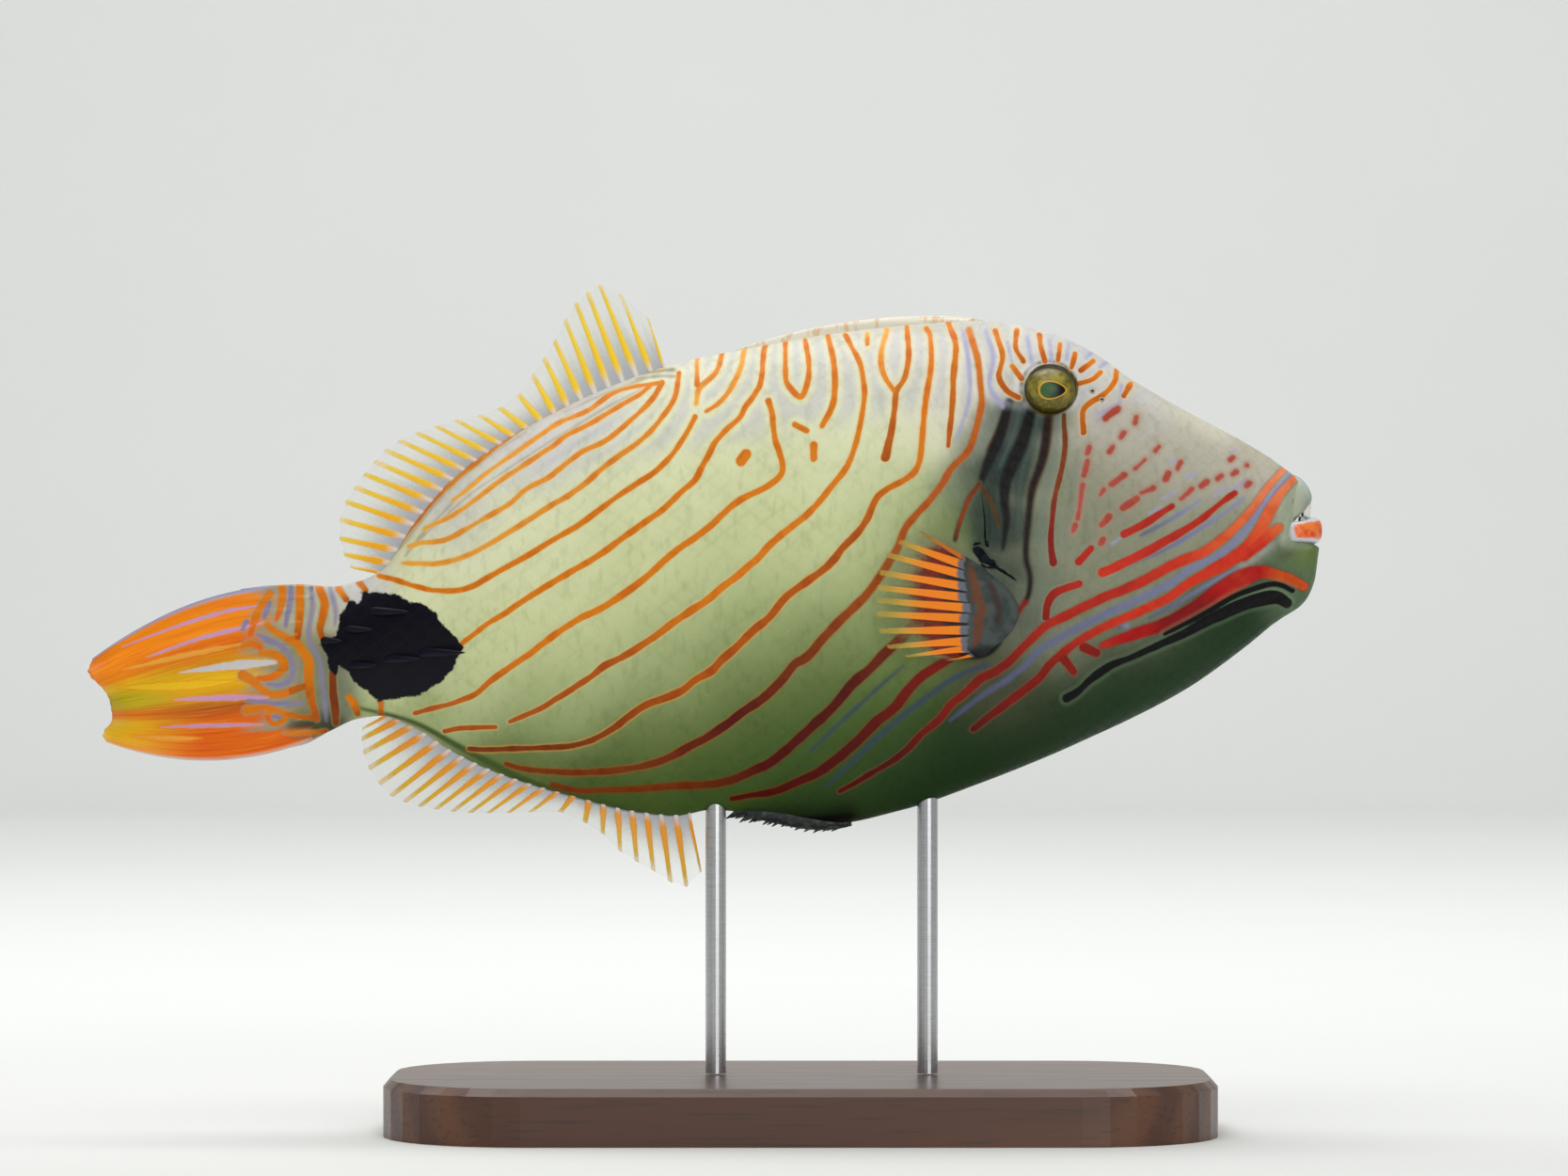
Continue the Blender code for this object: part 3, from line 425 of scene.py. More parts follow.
lilacLines = dict(
    betweenReds=([(1010, 766), (1030, 750), (1051, 735), (1070, 723), (1089, 708), (1105, 691),
        (1134, 674), (1169, 656), (1204, 640), (1241, 622), (1266, 605), (1300, 587), (1324, 563),
        (1347, 532), (1370, 506)], (.2, .6, .75, .8, .75, .6, .45)),
    lowRear=([(880, 835), (940, 778), (980, 745), (1016, 720), (1050, 706)], (.2, .5, .6, .3)),
    lowRearTwo=([(860, 800), (900, 762), (935, 730), (960, 708)], (.1, .35, .1)),
    underTwo=([(1190, 667), (1198, 665)], (.4, .4)),
    underThree=([(1222, 657), (1260, 636), (1290, 618), (1315, 604)], (.2, .35, .35, .1)),
    cheekOne=([(1190, 604), (1240, 583), (1290, 553), (1322, 530)], (.25, .4, .25)),
    cheekTwo=([(1213, 569), (1245, 552), (1276, 532)], (.2, .35, .2)),
    noseOne=([(1170, 390), (1185, 380), (1196, 384)], (.25, .2)),
    noseTwo=([(1155, 380), (1166, 370)], (.25, .15)),
    browOne=([(1118, 384), (1116, 362)], (.25, .2)),
    browTwo=([(1097, 386), (1092, 358)], (.25, .2)),
    browThree=([(1078, 396), (1071, 364)], (.25, .2)),
    browFour=([(1134, 382), (1136, 366)], (.25, .15)),
    chinPale=([(1256, 667), (1300, 645), (1330, 632), (1352, 627), (1366, 630), (1375, 640)],
        (0, .1, .15, .2, .25, .2)),
    # fold lines: thin darker strokes, painted shade in fine skin folds by the dorsal fin's base
    foldOne=([(424, 583), (444, 559), (462, 536), (480, 517), (502, 499), (530, 478), (560, 459)],
        (.1, .12, .12, .05, 0, -.1)),
    foldTwo=([(430, 592), (449, 568), (471, 545), (498, 517), (530, 492), (560, 470), (600, 445)],
        (.15, .15, .1, 0, 0, -.1)),
    foldThree=([(441, 577), (470, 552), (500, 525), (530, 505), (565, 482), (600, 460), (640, 436),
        (690, 409)], (.1, 0, 0, 0, .05, .1)),
    foldFour=([(600, 438), (640, 420), (670, 408), (700, 398)], (-.1, .05, .15)),
    # dark streaks: painted shade along the dorsal fin's base, at its rear and front
    darkOne=([(404, 605), (420, 586), (436, 567), (452, 549)], (.15, .25, .15, -.1)),
    darkTwo=([(632, 410), (660, 401), (690, 395), (716, 393)], (-.1, .1, .3, .25)),
    darkThree=([(676, 403), (700, 400), (718, 400)], (-.1, .2, .15)),
    napeOne=([(1048, 352), (1056, 380), (1052, 410), (1066, 432)], (.3, .4, .3)),
    napeTwo=([(1024, 352), (1030, 385), (1030, 425), (1018, 465)], (.25, .35, .25)),
    eyeFront=([(1192, 410), (1190, 428), (1168, 440)], (.25, .2)),
)
lilacFlecks = [  # both ends of each, and its half width
    (1243, 492, 1250, 488, .15), (1262, 508, 1272, 503, .15), (1236, 530, 1250, 522, .15),
    (1222, 546, 1234, 539, .15), (1290, 528, 1302, 519, .15), (1182, 578, 1192, 571, .15),
    (1310, 520, 1326, 510, .15), (1308, 480, 1314, 478, .12), (1166, 448, 1174, 442, .15),
    (1176, 612, 1186, 606, .15),
]
for number, (x0, y0, x1, y1, half) in enumerate(lilacFlecks):
    lilacLines[f"fleck{number}"] = ([(x0, y0), (x1, y1)], (half, half))
lilacLines.update({"tail" + key: value for key, value in tailLilacs.items()})
lowLilacs = ("betweenReds", "underTwo", "underThree", "cheekOne", "cheekTwo")
inkLines = dict(
    chin=([(1134, 742), (1146, 735), (1160, 722), (1180, 708), (1200, 700), (1220, 691), (1240, 682),
        (1260, 673), (1280, 662), (1300, 652), (1320, 643), (1340, 637), (1357, 635), (1368, 641)], (.9,
        .6, .9, .7, .6, .65, .7, .8, 1.0, 1.2, 1.3, 1.35, 1.5, 1.1)),
    chinTop=([(1238, 674), (1270, 658), (1290, 647), (1310, 635), (1330, 627), (1350, 621), (1362, 622),
        (1374, 628)], (.2, .4, .45, .5, .5, .5, .45, .4)),
)
darkBars = dict(  # soft bars under the eye, each its own paint
    oneShade=([(1072, 428), (1066, 452), (1052, 478)], (.5, .9, .6), "umberShade"),
    one=([(1073, 428), (1063, 463), (1052, 488), (1046, 503), (1042, 516)], (.8, 1.05, 1.15, .95, .45),
        "barWine"),
    two=([(1098, 430), (1089, 463), (1077, 492), (1069, 513), (1068, 534), (1070, 552), (1068, 570),
        (1066, 584)], (.85, 1.15, 1.3, 1.3, 1.1, .85, .6, .1), "barWine"),
    threeEdge=([(1117, 436), (1112, 477), (1103, 506), (1097, 527)], (.5, .8, .75, .5), "umberShade"),
    three=([(1115, 436), (1110, 477), (1104, 500), (1097, 518), (1095, 535), (1093, 555), (1091, 575),
        (1091, 595), (1095, 612), (1094, 630), (1090, 640)], (.6, .8, .85, .75, .65, .65, .65, .55, .5,
        .45, .4), "barBrown"),
    threeTail=([(1090, 640), (1082, 651), (1073, 665), (1064, 679)], (.4, .45, .4, .3), "brick"),
    gillBrow=([(1042, 518), (1051, 529), (1058, 545), (1062, 560)], (.3, .3, .25, .1), "umberShade"),
    baseEdge=([(1026, 697), (1040, 697), (1052, 693), (1063, 683)], (.3, .6, .6, .3), "ink"),
    # painted shadow along the belly's edge by the anal fin's base
    belowBlotch=([(380, 752), (440, 768), (500, 800), (580, 838), (680, 862)], (.1, .4, .6, .6, .1),
        "olive"),
    # painted shade under the belly, at the foot of the flap
    flapFoot=([(800, 868), (850, 873), (905, 868)], (.6, .9, .4), "ink"),
)
eyeLines = dict(
    one=([(1058, 352), (1066, 378), (1062, 400), (1070, 415), (1083, 423)], (.45, .5, .45)),
    two=([(1081, 351), (1080, 370), (1088, 384)], (.4, .45)),
    three=([(1105, 356), (1107, 370), (1111, 384)], (.4, .45)),
    four=([(1127, 366), (1125, 383)], (.4, .4)),
    five=([(1143, 376), (1139, 391)], (.4, .4)),
    six=([(1162, 384), (1149, 394)], (.45, .4)),
    seven=([(1170, 396), (1160, 404), (1146, 408)], (.45, .45)),
    eight=([(1187, 393), (1185, 405), (1175, 418), (1158, 429), (1151, 438), (1152, 460)],
        (.45, .5, .55)),
    nine=([(1076, 389), (1086, 402)], (.6, .55)),
    ten=([(1202, 408), (1195, 421)], (.5, .5)),
)
snoutDashes = [
    (1187, 436, 1175, 445), (1206, 446, 1207, 449), (1193, 462, 1192, 465), (1181, 477, 1180, 480),
    (1156, 477, 1156, 482), (1230, 477, 1229, 479), (1215, 491, 1207, 498), (1253, 494, 1252, 498),
    (1193, 507, 1182, 515), (1240, 505, 1239, 510), (1171, 523, 1170, 526), (1224, 521, 1214, 524),
    (1154, 492, 1152, 505), (1207, 532, 1194, 540), (1265, 522, 1256, 530), (1281, 514, 1277, 517),
    (1297, 508, 1295, 509), (1312, 503, 1310, 504), (1149, 518, 1146, 551), (1177, 551, 1171, 558),
    (1171, 575, 1170, 578), (1141, 561, 1141, 565), (1309, 488, 1308, 489), (1324, 497, 1326, 495),
    (1326, 516, 1326, 516),
]
tailLines = dict(
    barOne=([(299, 621), (300, 634), (298, 646), (294, 659)], (.8, .75, .65, .35)),
    innerBar=([(287, 631), (277, 645), (271, 659), (266, 675)], (.8, .8, .75, .5)),
    barTwo=([(319, 620), (319, 640), (318, 660), (316, 678)], (.8, .85, .75, .6)),
    barThree=([(339, 624), (345, 641), (343, 656), (340, 668), (343, 679)], (.7, .75, .75, .7, .5)),
    barFour=([(354, 714), (354, 735), (356, 750), (357, 768)], (.7, .75, .8, .7)),
    barFive=([(360, 626), (368, 637)], (.65, .55)),
    barSix=([(382, 619), (389, 628)], (.5, .45)),
    barSeven=([(371, 741), (377, 750), (380, 758)], (.65, .85, .6)),
    stub=([(405, 747), (405, 758)], (.45, .4)),
    sweep=([(284, 664), (292, 671), (305, 678), (315, 683), (322, 693), (328, 703), (328, 720),
        (330, 738), (333, 752), (337, 765)], (.6, .75, .8, .9, 1.0, 1.0, .95, .85, .75, .5)),
    hoopTop=([(258, 687), (267, 684), (277, 688)], (.7, .8, .6)),
    hoop=([(277, 694), (290, 695), (300, 702), (301, 710), (294, 717), (284, 721), (275, 721)],
        (.6, .8, .9, .9, .8, .7, .4)),
    trough=([(258, 718), (268, 723), (276, 731), (288, 738), (300, 738), (312, 733), (325, 729)],
        (1.0, .9, .8, .8, .8, .7, .6)),
    ring=([(284, 760), (290, 755), (299, 757), (304, 763), (298, 769), (288, 768), (284, 760)],
        (.5, .55, .5)),
    barEight=([(262, 755), (284, 752), (298, 757), (312, 761), (332, 763)], (1.0, .7, .6, .6, .5)),
    barNine=([(303, 779), (323, 779), (346, 777)], (.2, .5, .35)),
)
tailStreaks = dict(
    one=([(285, 642), (240, 650), (190, 665), (128, 688)], (.05, .3, .32, .15, 0), "pink"),
    two=([(280, 662), (215, 678), (155, 699)], (.05, .4, .25, 0), "pink"),
    three=([(292, 704), (250, 707), (190, 715)], (.4, .95, .6, 0), "pearl"),
    four=([(285, 741), (224, 742), (185, 744)], (.2, .6, .4, 0), "pink"),
    five=([(280, 770), (230, 771), (170, 773)], (.1, .35, .3, 0), "pink"),
    six=([(215, 785), (180, 785), (140, 783)], (0, .4, .3, 0), "amber"),
    seven=([(260, 684), (200, 696), (130, 712)], (0, .5, .4, 0), "amber"),
    eight=([(250, 724), (190, 729), (125, 731)], (0, .8, .7, 0), "yellow"),
)
tailLobes = (  # share across the fin, paint near the root, paint at the tip
    (0.00, "lilac", "lilac"), (0.016, "lilacPale", "lilacPale"), (0.034, "orangeBright", "orangeBright"),
    (0.20, "orangeBright", "orangeBright"), (0.31, "orangeDeep", "orangeBright"),
    (0.40, "amberDeep", "yellow"), (0.50, "yellow", "yellowOlive"), (0.60, "amberDeep", "yellowOlive"),
    (0.67, "rust", "orangeDeep"), (0.76, "orangeDeep", "yellow"), (0.90, "orangeDeep", "yellow"),
    (0.975, "orangeDeep", "amber"), (1.00, "pearl", "cream"),
)
blotchEdge = [
    (384, 629), (402, 629), (422, 632), (435, 639), (450, 642), (463, 651), (470, 664), (484, 676),
    (493, 689), (488, 697), (482, 711), (470, 724), (454, 734), (442, 741), (432, 740), (422, 743),
    (409, 744), (403, 747), (391, 735), (376, 725), (371, 715), (361, 708), (357, 719), (351, 712),
    (346, 693), (339, 685), (345, 680), (357, 675), (360, 664), (361, 654), (368, 645), (371, 637),
    (380, 641), (384, 638),
]


def lineField(places, lines):
    # for each place: distance to the nearest line's edge in mm, and the paints of that line
    best = np.full(len(places), 6.0)
    core = np.tile(paint("orange"), (len(places), 1))
    edge = np.tile(paint("halo"), (len(places), 1))
    for key, (points, halves, paintsAlong, edgePaint) in lines.items():
        curve = smoothCurve(toMm(points))
        share = np.linspace(0, 1, len(curve))
        half = np.interp(share, np.linspace(0, 1, len(halves)), halves)
        half = half + 0.3 * np.clip(0.62 - half, 0, 0.25)
        stops = np.array([paint(p) for p in paintsAlong])
        low, high = curve.min(0) - 5, curve.max(0) + 5
        near = np.flatnonzero(((places > low) & (places < high)).all(1))
        start, run = curve[:-1], np.diff(curve, axis=0)
        size = np.maximum((run**2).sum(1), 1e-9)
        for some in np.array_split(near, max(1, len(near) * len(run) // 3000000)):
            if not len(some):
                continue
            away = places[some][:, None] - start[None]
            t = np.clip((away * run[None]).sum(2) / size[None], 0, 1)
            gap = np.linalg.norm(away - t[..., None] * run[None], axis=2)
            gap -= half[:-1] + t * np.diff(half)[None]
            gap *= 0.5 if key.startswith("dash") else 1.0  # dashes have softer edges
            pick = gap.argmin(1)
            found = gap[np.arange(len(some)), pick]
            at = (pick + t[np.arange(len(some)), pick]) / len(run)
            closer = found < best[some]
            chosen = some[closer]
            best[chosen] = found[closer]
            for channel in range(3):
                core[chosen, channel] = np.interp(at[closer], np.linspace(0, 1, len(stops)),
                        stops[:, channel])
            edge[chosen] = paint(edgePaint)
    return best, core, edge


def outlineField(places, edge):
    # signed distance to a closed outline in mm, negative inside
    curve = toMm(edge)
    best = np.full(len(places), 30.0)
    inside = np.zeros(len(places), bool)
    for a, b in zip(curve, np.roll(curve, -1, axis=0)):
        run = b - a
        t = np.clip(((places - a) @ run) / (run @ run), 0, 1)
        best = np.minimum(best, np.linalg.norm(places - a - t[:, None] * run, axis=1))
        crosses = (a[1] > places[:, 1]) != (b[1] > places[:, 1])
        with np.errstate(divide="ignore", invalid="ignore"):
            at = (b[0] - a[0]) * (places[:, 1] - a[1]) / (b[1] - a[1]) + a[0]
        inside ^= crosses & (places[:, 0] < at)
    return np.where(inside, -best, best)


def awayFrom(curve, places):
    away = np.full(len(places), 99.0)
    for point in curve:
        away = np.minimum(away, np.linalg.norm(places - point, axis=1))
    return away


# paint zones of the ground colour: place on the drawing, reach in mm, paint
# the ground darkens from the back to the belly: the fish's own countershading, with shade under the belly
# painted in as well
zones = [
    (1000, 365, 14, "cream"), (900, 375, 14, "cream"), (820, 385, 14, "cream"), (740, 400, 12, "cream"),
    (640, 440, 9, "pearl"), (560, 480, 9, "pearl"), (480, 545, 9, "pearl"), (760, 440, 14, "straw"),
    (860, 440, 14, "straw"), (700, 490, 14, "straw"), (560, 570, 12, "straw"), (460, 600, 10, "straw"),
    (930, 470, 14, "straw"), (800, 540, 16, "lime"), (700, 600, 16, "lime"), (600, 660, 14, "lime"),
    (520, 700, 10, "lime"), (880, 560, 14, "lime"), (960, 540, 12, "sage"), (920, 640, 14, "sage"),
    (800, 650, 16, "sage"), (700, 700, 14, "sage"), (600, 740, 12, "sage"), (500, 745, 8, "sage"),
    (880, 700, 14, "moss"), (780, 740, 14, "moss"), (680, 790, 12, "moss"), (560, 800, 10, "moss"),
    (450, 765, 7, "sage"), (410, 735, 5, "lime"), (500, 720, 7, "lime"), (560, 745, 8, "sage"),
    (960, 690, 12, "moss"), (830, 800, 14, "olive"), (740, 840, 12, "olive"), (640, 835, 10, "olive"),
    (920, 770, 14, "olive"), (960, 830, 14, "deepGreen"), (1040, 790, 14, "deepGreen"),
    (1120, 750, 14, "deepGreen"), (1220, 720, 14, "deepGreen"), (1320, 670, 12, "deepGreen"),
    (860, 865, 10, "deepGreen"), (1390, 590, 4, "mossBright"), (1388, 608, 4, "chinGreen"),
    (1365, 588, 3, "chinGreen"), (1365, 640, 5, "chinGreen"), (1060, 360, 10, "cream"),
    (1110, 370, 9, "pearl"), (1170, 385, 9, "pearl"), (1250, 440, 11, "snoutGrey"),
    (1320, 480, 10, "snoutGrey"), (1200, 460, 12, "snoutGrey"), (1260, 500, 12, "snoutGrey"),
    (1370, 510, 6, "snoutGrey"), (1180, 540, 12, "cheekGrey"), (1240, 560, 12, "cheekGrey"),
    (1300, 560, 8, "cheekGrey"), (1140, 600, 12, "cheekGrey"), (1200, 640, 10, "cheekGrey"),
    (1120, 680, 9, "cheekGrey"), (1060, 730, 9, "shadeGrey"), (1120, 520, 8, "cheekGrey"),
    (1064, 402, 4, "pearl"), (1050, 448, 4, "dusk"), (1084, 448, 3, "duskGrey"),
    (1112, 446, 3, "duskGrey"), (1092, 436, 3, "dusk"), (1106, 439, 2.5, "dusk"),
    (1058, 432, 2.5, "mistGrey"), (1073, 436, 2.5, "dusk"), (1132, 446, 2.5, "cheekGrey"),
    (1030, 470, 4, "mistGrey"), (1030, 500, 4, "duskGrey"), (1060, 500, 4, "teal"),
    (1086, 495, 4, "duskGrey"), (1036, 545, 5, "teal"), (1056, 570, 4, "duskGrey"),
    (1082, 560, 4, "duskGrey"), (1084, 605, 4, "duskGrey"), (1110, 500, 4, "mistGrey"),
    (1108, 560, 4, "mistGrey"), (1116, 620, 5, "mistGrey"), (1005, 560, 6, "moss"),
    (1050, 640, 7, "duskGrey"), (990, 600, 7, "cheekGrey"), (1100, 660, 5, "dusk"),
    (1010, 520, 5, "mistGrey"), (1000, 430, 10, "cream"), (350, 640, 5, "tanLight"),
    (372, 625, 5, "pearl"), (320, 650, 5, "tanLight"), (340, 700, 4, "sageGrey"),
    (300, 705, 5, "tanGrey"), (338, 740, 4, "sageGrey"), (365, 745, 4, "sageGrey"),
    (390, 620, 5, "pearl"), (398, 755, 4, "sage"), (500, 660, 7, "lime"), (278, 690, 5, "tanGrey"),
    (275, 640, 5, "tanGrey"), (290, 745, 5, "tanGrey"), (320, 740, 4, "oliveTan"),
    # the two darkOlive spots low on the tail stalk are painted shadow
    (312, 722, 4, "tanGrey"), (325, 771, 3, "darkOlive"), (350, 769, 3, "darkOlive"),
    (320, 690, 4, "oliveTan"),
]
shades = [  # soft darkening: line, reach in mm, share, paint
    # painted shadow inside the gill hole
    ([(1036, 584), (1046, 592), (1056, 602)], 1.1, .6, "ink"),
    ([(1066, 437), (1090, 441), (1120, 441)], 1.7, .5, "dusk"),
    ([(1082, 445), (1072, 468), (1060, 500)], 2.6, .75, "teal"),
    ([(1104, 450), (1092, 480), (1084, 520)], 2.0, .6, "teal"),
    ([(1068, 480), (1056, 520), (1058, 572)], 3.0, .75, "teal"),
    ([(1090, 470), (1084, 520), (1080, 570)], 1.8, .65, "teal"),
    ([(1040, 530), (1040, 575)], 2.0, .5, "teal"),
    ([(1084, 436), (1077, 462), (1063, 496)], 0.45, .5, "duskBlue"),
    ([(1104, 438), (1100, 465), (1088, 497), (1083, 530), (1082, 570)], 0.5, .4, "duskBlue"),
    ([(1056, 438), (1048, 462), (1034, 492)], 0.6, .35, "mistBlue"),
    ([(1124, 446), (1121, 480), (1112, 520), (1106, 560), (1106, 600)], 0.7, .5, "mistBlue"),
    ([(1146, 480), (1138, 530), (1132, 580)], 0.8, .35, "mistBlue"),
    ([(1320, 600), (1345, 582), (1362, 570)], 1.6, .35, "pearl"),
    # painted shade under the belly, above the flap
    ([(800, 872), (860, 876), (900, 870)], 3.0, .85, "ink"),
    ([(1366, 556), (1362, 575), (1368, 588)], 2.0, .4, "shadeGrey"),
    # painted shadow along the belly's edge by the anal fin's base
    ([(700, 868), (560, 838), (470, 794)], 1.8, .4, "olive"),
    ([(1300, 462), (1220, 420), (1180, 398)], 2.6, .4, "cream"),
    ([(1060, 352), (960, 345), (850, 350), (760, 362)], 2.4, .35, "tanGrey"),
]


def groundPaint(places):
    weight, total = np.zeros(len(places)), np.zeros((len(places), 3))
    for x, y, reach, name in zones:
        spot = toMm([(x, y)])[0]
        away = ((places - spot) ** 2).sum(1)
        share = np.exp(-away / (2 * (reach * 0.62) ** 2)) + 1e-9 / (1 + away)
        weight += share
        total += share[:, None] * paint(name)
    colour = total / weight[:, None]
    for line, reach, amount, name in shades:
        away = awayFrom(smoothCurve(toMm(line)), places)
        share = (amount * np.exp(-((away / reach) ** 2)))[:, None]
        colour = colour * (1 - share) + paint(name) * share
    for points, halves, name in darkBars.values():
        gap = lineField(places, {name: (points, halves, (name, name), name)})[0]
        share = (0.98 * (1 - smooth(-0.35, 0.6, gap)))[:, None]
        colour = colour * (1 - share) + paint(name) * share
    return colour


# fold and dark lines take the greys of painted shade
lilacPaints = dict(chin="chinPale", fold="foldGrey", dark="foldDark", lowRear="slateDark", tail="lilacDusk")


def lilacPaint(key):
    for start, name in lilacPaints.items():
        if key.startswith(start):
            return name
    return "lilacSoft"


def lobed(ground, places, across, out):
    # towards the tail's end the stalk's ground gives way, with ragged edges, to the fin's lobes
    lobe = np.zeros((len(places), 3))
    keys = np.array([k[0] for k in tailLobes])
    toTip = smooth(0.5, 1.0, out)
    for channel in range(3):
        near = np.interp(across, keys, [paint(k[1])[channel] for k in tailLobes])
        far = np.interp(across, keys, [paint(k[2])[channel] for k in tailLobes])
        lobe[:, channel] = near + (far - near) * toTip
    reach = 2.6 * (1 - smooth(0.04, 0.2, across)) + 10.5 * smooth(0.84, 0.92, across)
    fade = 1 - smooth(-119.0, -111.5, places[:, 0] - reach + 1.6 * np.sin(55 * across) + np.sin(23 * across))
    return ground * (1 - fade[:, None]) + lobe * fade[:, None], fade


def seenPlaces(points):
    # where the near side of a solid point falls on the side view, seen from the camera
    reach = camera["away"] / (camera["away"] - np.abs(points[:, 1]))
    centre = np.array(camera["centre"])
    return centre + (points[:, [0, 2]] - centre) * reach[:, None]


allLines = dict(flankLines)
for key, (points, halves) in eyeLines.items():
    allLines["eye" + key] = (points, halves, ("orange", "rust"), "halo")
# a thin dark olive ring round the eye's raised rim: painted shade that tones down the light the rim catches
ringPlaces = [(1115 + 29.5 * math.cos(a), 412 - 28 * math.sin(a)) for a in np.linspace(0, 2 * math.pi, 25)]
darkBars["eyeRing"] = (ringPlaces, (.1, .1), "ringOlive")
for number, (x0, y0, x1, y1) in enumerate(snoutDashes):
    allLines[f"dash{number}"] = ([(x0 + 2, y0 - 2), (x1, y1)], (.5, .42), ("dashRed", "dashRed"), "dashEdge")
for key, (points, halves) in tailLines.items():
    core = ("umber", "umber") if key == "barFour" else ("orange", "orange", "rust")
    allLines["tail" + key] = (points, halves, core, "oliveTan")

# skin of head, trunk and tail stalk
body = dict(
    # along, back, belly, half width, height of the widest point, edge above, edge below
    sections=(
        (-119.0, 115.2, 80.4, 0.25, 98.5, 1.00, 1.00), (-112.0, 116.0, 81.0, 1.3, 98.8, 1.00, 1.00),
        (-106.0, 116.2, 82.0, 2.6, 99.5, 1.00, 1.00), (-100.0, 115.7, 85.0, 4.2, 101.0, 1.00, 1.00),
        (-94.0, 116.8, 87.6, 5.8, 102.5, 1.00, 1.00), (-89.0, 119.2, 88.2, 7.2, 103.5, 1.02, 1.05),
        (-82.0, 129.4, 85.6, 8.9, 106.0, 1.15, 1.20), (-74.0, 138.6, 80.6, 11.0, 108.5, 1.25, 1.35),
        (-66.0, 144.8, 76.6, 12.8, 110.5, 1.30, 1.45), (-50.0, 154.0, 71.2, 15.7, 114.5, 1.30, 1.50),
        (-34.0, 160.8, 67.4, 17.9, 118.0, 1.28, 1.55), (-27.0, 163.0, 66.8, 18.6, 119.5, 1.25, 1.55),
        (-19.0, 164.8, 68.2, 19.2, 121.0, 1.20, 1.55), (-8.0, 166.9, 67.2, 19.8, 122.5, 1.12, 1.50),
        (6.0, 169.4, 65.2, 20.2, 124.0, 1.05, 1.48), (22.0, 171.3, 68.3, 20.3, 126.0, 0.98, 1.42),
        (38.0, 172.2, 73.8, 19.6, 127.5, 0.94, 1.35), (54.0, 169.3, 80.2, 17.7, 128.0, 0.90, 1.25),
        (62.0, 165.6, 83.8, 16.4, 128.0, 0.90, 1.20), (70.0, 160.0, 87.5, 15.0, 127.5, 0.92, 1.15),
        (82.0, 153.0, 93.9, 12.4, 127.0, 0.95, 1.10), (94.0, 146.6, 102.4, 9.4, 127.0, 0.95, 1.02),
        (102.0, 141.7, 109.0, 7.4, 127.0, 0.92, 0.98), (106.0, 139.0, 112.2, 6.3, 127.0, 0.90, 0.95),
        (108.4, 136.4, 117.0, 5.1, 127.0, 0.88, 0.92), (109.4, 133.0, 121.6, 3.6, 127.0, 0.88, 0.92),
    ),
    rows=560, halfAround=270, capRings=14, chinLean=0.10, chinLeanFrom=100.0,
)
eye = dict(
    along=52.5, height=156.8, radius=6.1, tall=0.92, seat=3.3, stretch=1.12, rimAt=5.55, rimWidth=0.6,
    rimRise=0.35,
    ditchAt=7.2, ditchWidth=0.8, ditchDepth=0.2, socketEdge=(4.2, 5.1), socketDepth=3.2,
)
plates = dict(size=3.4, depth=0.09)
gill = dict(points=[(1036, 582), (1045, 598), (1058, 602), (1070, 608), (1081, 616)], depth=0.4, width=0.9,
            coverAt=1.7, coverWidth=0.9, coverRise=0.25)
nostrils = dict(
    places=[(1159, 417), (1169, 426)], radius=0.55, depth=0.6,
    # outline of the rim: radius, height above the skin, darkness (painted shade, deepest in the hole)
    rim=[(0.76, -0.3, 0), (0.56, -0.1, 0), (0.43, -0.03, 0), (0.34, -0.05, 0.15), (0.27, -0.14, 0.55),
         (0.21, -0.3, 1), (0.12, -0.44, 1), (0.02, -0.48, 1)],
)
# folds of the skin at the mouth's corner, along the jaw and by the gill: line, depth, width
skinFolds = [
    ([(1312, 604), (1338, 584), (1366, 566)], 0.5, 0.55), ([(1150, 700), (1240, 664), (1310, 622)], 0.22,
        0.7),
    ([(1128, 735), (1200, 703), (1290, 660), (1360, 634)], 0.35, 0.8),
    ([(1364, 548), (1358, 575), (1366, 596)], 0.3, 0.5), ([(1045, 524), (1047, 550), (1046, 580)], 0.5, 0.45),
    ([(1043, 518), (1054, 537), (1058, 562)], 0.35, 0.5),
]
# room for lips and teeth: each pair is where a change starts and where it is full, in mm
mouthRoom = dict(
    seatLow=(123.6, 125.8), seatTop=(136.4, 140.6), narrower=0.3, narrowAlong=(102.0, 105.6), back=(1.8, 2.4),
    backLow=(123.8, 125.4), backMiddle=(130.0, 131.0), backTop=(136.6, 139.6), backAlong=(105.6, 109.0),
    gapeLow=(128.4, 129.4), gapeTop=(133.4, 134.6), gapeAlong=104.7, throat=4.0, throatHalf=(3.4, 4.4),
    # darkAlong and darkHalf bound the painted shade inside the gape
    darkAlong=(103.6, 104.6), darkHalf=(4.2, 4.9),
)
# gape: the colour of the painted shade inside the mouth
snoutTip = dict(along=(100.6, 102.8), low=(122.5, 127.0), top=(139.0, 142.0), pale=(166, 176, 152),
                gape=(52, 30, 26))
# the pale lilac grey between the orange lines of the back, which stops above the dark bars
backWash = dict(height=(150.0, 158.0), slope=0.16, middle=30, low=(112.0, 124.0), front=(70.0, 82.0),
                share=0.55,
                fromLines=(0.6, 1.8), behindEye=(34.0, 41.0), beforeEye=(57.0, 64.0), belowEye=(152.5, 156.0))


def profile(along, column):
    return through(body["sections"], along, column)


def flank(along, height):
    # half width of the body at a place on the side view
    widest = profile(along, 4)
    above = np.asarray(height, float) > widest
    reach = np.where(above, profile(along, 1) - widest, widest - profile(along, 2))
    share = np.clip(np.abs(height - widest) / np.maximum(reach, 1e-6), 0, 1)
    return profile(along, 3) * (1 - share**2) ** (np.where(above, profile(along, 5), profile(along, 6)) / 2)


